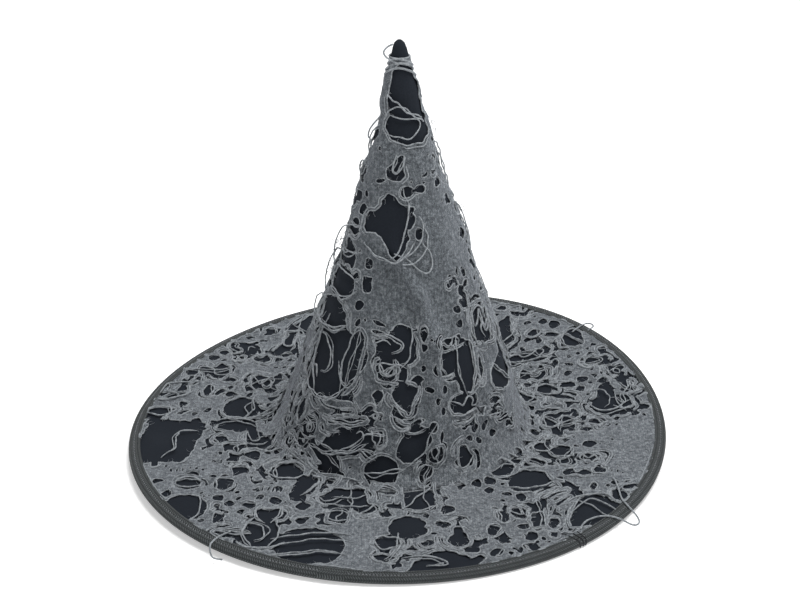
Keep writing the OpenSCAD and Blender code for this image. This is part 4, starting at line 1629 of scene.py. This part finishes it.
def brim_gauze():
    """The brim's torn overlay, from the crown's foot to under the binding."""
    inner, outer = BASE_R + 0.2, RIM_R - TAPE_W + 1.2

    def keep(q):
        return (reach(q) > inner) & (reach(q) < outer)

    def spot(centre, p):
        return np.asarray(centre, float) + p

    def within(q):
        return q * (np.clip(reach(q), inner + 1.3, outer - 0.5) / reach(q))[:, None]

    def behind(rng):
        a = math.radians(rng.uniform(-2, 182))
        r = rng.uniform(BASE_R + 4, RIM_R - 14)
        return r * math.cos(a), r * math.sin(a)

    def around(rng):
        a = rng.uniform(0, TURN)
        r = rng.uniform(BASE_R + 3, RIM_R - 12)
        return r * math.cos(a), r * math.sin(a)

    def hidden(line):
        return ~keep(line * 1.006) | ~keep(line * 0.99)

    edges = [circle(inner, 1.6), circle(outer, 1.6)]
    web = Gauze(on_brim, spot, edges, keep, within, BRIM_SEED)
    web.lay_out(BRIM_TEARS, BRIM_ROWS, BRIM_SCATTERS)
    web.centres += BRIM_PLAIN
    # the back half, from large tears down to small ones, then small ones all round
    web.fill(behind, 48, 32, 9, 2.5)
    web.fill(behind, 60, 9, 3, 1.6)
    web.fill(around, 230, 10, 2.2, 1.0)
    wide = 2 * LAYER_R * MM
    gauze_pieces(web, "brim_gauze", GAUZE, hidden, flat=(wide, wide), held="laid",
                 rests_on=["brim_top_cloth_ring"])


def crown_gauze():
    """The crown's torn overlay, cut as a sector and joined at the back."""
    foot, top = BRIM_Z + 0.8, GAUZE_TOP
    half = 179.6                    # degrees from the front to the join
    low_far, top_far = (float(np.hypot(*cut_from(0.0, z))) for z in (foot, top))

    def keep(q):
        far = reach(q)
        return (far < low_far) & (far > top_far) & (abs(cut_turn(q)) < half)

    def spot(centre, p):
        z = np.clip(centre[1] + p[:, 1], foot - 12, TIP_Z - 1)
        r = np.maximum(outline_r(z), 3)
        turn = apart(centre[0], -90) + np.degrees(p[:, 0] / r)
        return cut_from(np.clip(turn, -half + 1.2, half - 1.2), z)

    def within(q):
        return q * (np.clip(reach(q), top_far + 0.6, low_far - 0.4) / reach(q))[:, None]

    def any_height(rng):
        return 8 + 262 * (1 - math.sqrt(rng.uniform(0, 1)))

    def behind(rng):
        z = any_height(rng)
        return rng.uniform(2, 178), z

    def around(rng):
        z = any_height(rng)
        return rng.uniform(-180, 180), z

    def hidden(line):
        return (reach(line) > low_far - 0.5) | (abs(cut_turn(line)) > half - 0.5)

    turns = np.linspace(-half, half, 420)
    heights = np.linspace(foot, top, 230)[1:-1]
    edge = np.vstack([cut_from(turns, foot + 0 * turns), cut_from(half + 0 * heights, heights),
                      cut_from(turns[::20][::-1], np.full(21, top)),
                      cut_from(-half + 0 * heights, heights[::-1])])
    web = Gauze(on_crown, spot, [edge], keep, within, CROWN_SEED, calm_above=118)
    web.lay_out(CROWN_TEARS, [], CROWN_SCATTERS)
    web.centres += [(*cut_from(a + 90, z), r) for a, z, r in CROWN_PLAIN]
    web.fill(behind, 40, 32, 9, 2.5)
    web.fill(behind, 50, 9, 3, 1.6)
    web.fill(around, 80, 7, 2.2, 1.4)
    flat = (2 * low_far * math.sin(math.pi * CUT_ANGLE) * MM, low_far * MM)
    gauze_pieces(web, "crown_gauze", CROWN_GAUZE_SHADED, hidden, [crown_extras()], flat=flat,
                 held="stretched", rests_on=["crown_cloth_cone"])


# Slack yarns that stand off the crown, mostly at its sides: angle, height, distance off the cloth.
CROWN_LOOPS = [
    [(-160, 247, 0.8), (-170, 243, 2.2), (172, 236, 4.4), (170, 230, 5.2), (-176, 226, 3),
     (-165, 224, 0.8)],
    [(-158, 240, 0.8), (-172, 236, 2.4), (174, 230, 3.2), (176, 222, 2.8), (-172, 217, 0.8)],
    [(-165, 214, 0.8), (176, 211, 2.8), (172, 207, 3.6), (176, 202, 2.4), (-170, 199, 0.8)],
    [(-150, 172, 0.8), (-165, 168, 2.2), (176, 160, 4.6), (172, 150, 6.4), (173, 140, 5.2),
     (-176, 132, 2.4), (-165, 128, 0.8)],
    [(-160, 150, 0.8), (-175, 147, 2.4), (171, 140, 4.4), (169, 126, 5.6), (174, 116, 2.8),
     (-172, 112, 0.8)],
    [(-166, 113, 0.8), (178, 109, 3), (171, 102, 5.4), (172, 96, 4.4), (-178, 97, 2.2),
     (-168, 102, 0.8)],
    [(-20, 232, 0.8), (-6, 226, 2), (8, 216, 3.6), (12, 205, 3.4), (6, 196, 1.8), (-6, 190, 0.8)],
    [(-26, 228, 0.8), (-10, 219, 1.8), (2, 209, 2.6), (4, 200, 2), (-8, 194, 0.8)],
    [(-10, 184, 0.8), (4, 178, 2.4), (12, 168, 4), (12, 156, 3.8), (6, 148, 2), (-6, 144, 0.8)],
    [(-14, 176, 0.8), (0, 170, 1.8), (9, 160, 2.6), (8, 150, 1.6), (-8, 142, 0.8)],
    [(-100, 160, 0.8), (-92, 158, 1.6), (-84, 160, 2.2), (-74, 168, 2.4), (-70, 176, 2),
     (-72, 184, 0.8)],
    [(-108, 158, 0.8), (-95, 154, 1.8), (-82, 154, 2.4), (-70, 162, 2.2), (-66, 172, 1.4),
     (-69, 178, 0.8)],
    [(-90, 158, 0.8), (-80, 150, 1.8), (-72, 146, 2.6), (-66, 150, 2.2), (-66, 158, 1.2),
     (-72, 166, 0.8)],
    [(-132, 262, 0.8), (-112, 260, 1.8), (-86, 255, 2.2), (-62, 248, 2), (-34, 243, 0.8)],
    [(-142, 247, 0.8), (-118, 253, 1.6), (-92, 255, 2.4), (-64, 250, 2), (-36, 246, 0.8)],
]
# Yarns wound round the tip: height, tilt, and where it is highest.
TIP_WRAPS = [(280.6, 5.2, -98), (277.2, 5.8, -86), (273.4, 6.4, -92)]
# Fine loose hairs at the crown's left: angle, height and how far each wanders.
WISPS = [(-176, 158, 9), (178, 150, 12), (175, 143, 10), (-178, 136, 8), (176, 128, 7),
         (-170, 206, 6), (4, 242, 6), (10, 172, 7)]


def from_axis(line):
    """The level way from the crown's middle line to each point."""
    z = line[:, 2]
    return line - np.stack([lean(z), 0 * z, z], -1)


def slack_loops(batch, rng):
    """The loops of CROWN_LOOPS, a little uneven."""
    for loop in CROWN_LOOPS:
        p = np.array(loop, float)
        p[:, 0] = np.degrees(np.unwrap(np.radians(p[:, 0])))
        line = even_steps(crown_point(*spline(p, 2.0).T), 1.2)
        line = line + 0.25 * ripple(line, 7, int(rng.integers(1 << 30)), 5)[:, None]
        batch.tube(line, from_axis(line), rng.uniform(0.45, 0.6))


def tip_wraps(batch):
    """The turns of TIP_WRAPS round the tip."""
    angle = np.linspace(0, 360, 48, endpoint=False)
    for height, tilt, highest in TIP_WRAPS:
        z = height + tilt * np.cos(np.radians(angle - highest))
        line = crown_point(angle, z, 1.0 + 0.2 * np.sin(np.radians(angle * 3 + height * 40)))
        batch.tube(line, from_axis(line), 0.8, 7, True)


def fine_hairs(batch, rng):
    """The hairs of WISPS, which curl away from the crown and back."""
    t = np.linspace(0, 1, 60)
    for angle, z, far in WISPS:
        curl = rng.uniform(1.5, 3.5)
        off = 0.6 + far * np.sin(math.pi * t) ** 0.8 * (0.55 + 0.2 * np.sin(curl * TURN * t))
        turn = angle + 10 * t * np.sin(curl * TURN * t + rng.uniform(0, 6))
        rise = z + rng.uniform(-16, 10) * t + 2.4 * np.cos(curl * TURN * t)
        batch.tube(crown_point(turn, rise, off), (0.3, -1.0, 0.2), 0.16, 4)


def crown_extras():
    """Slack loops, the wound tip and a few fine hairs, which belong to the crown's overlay."""
    batch = Batch()
    rng = np.random.default_rng(YARN_SEED)
    slack_loops(batch, rng)
    tip_wraps(batch)
    fine_hairs(batch, rng)
    return batch.make("crown_slack_yarns", YARN)


brim_gauze()
crown_gauze()

bpy.context.view_layer.update()
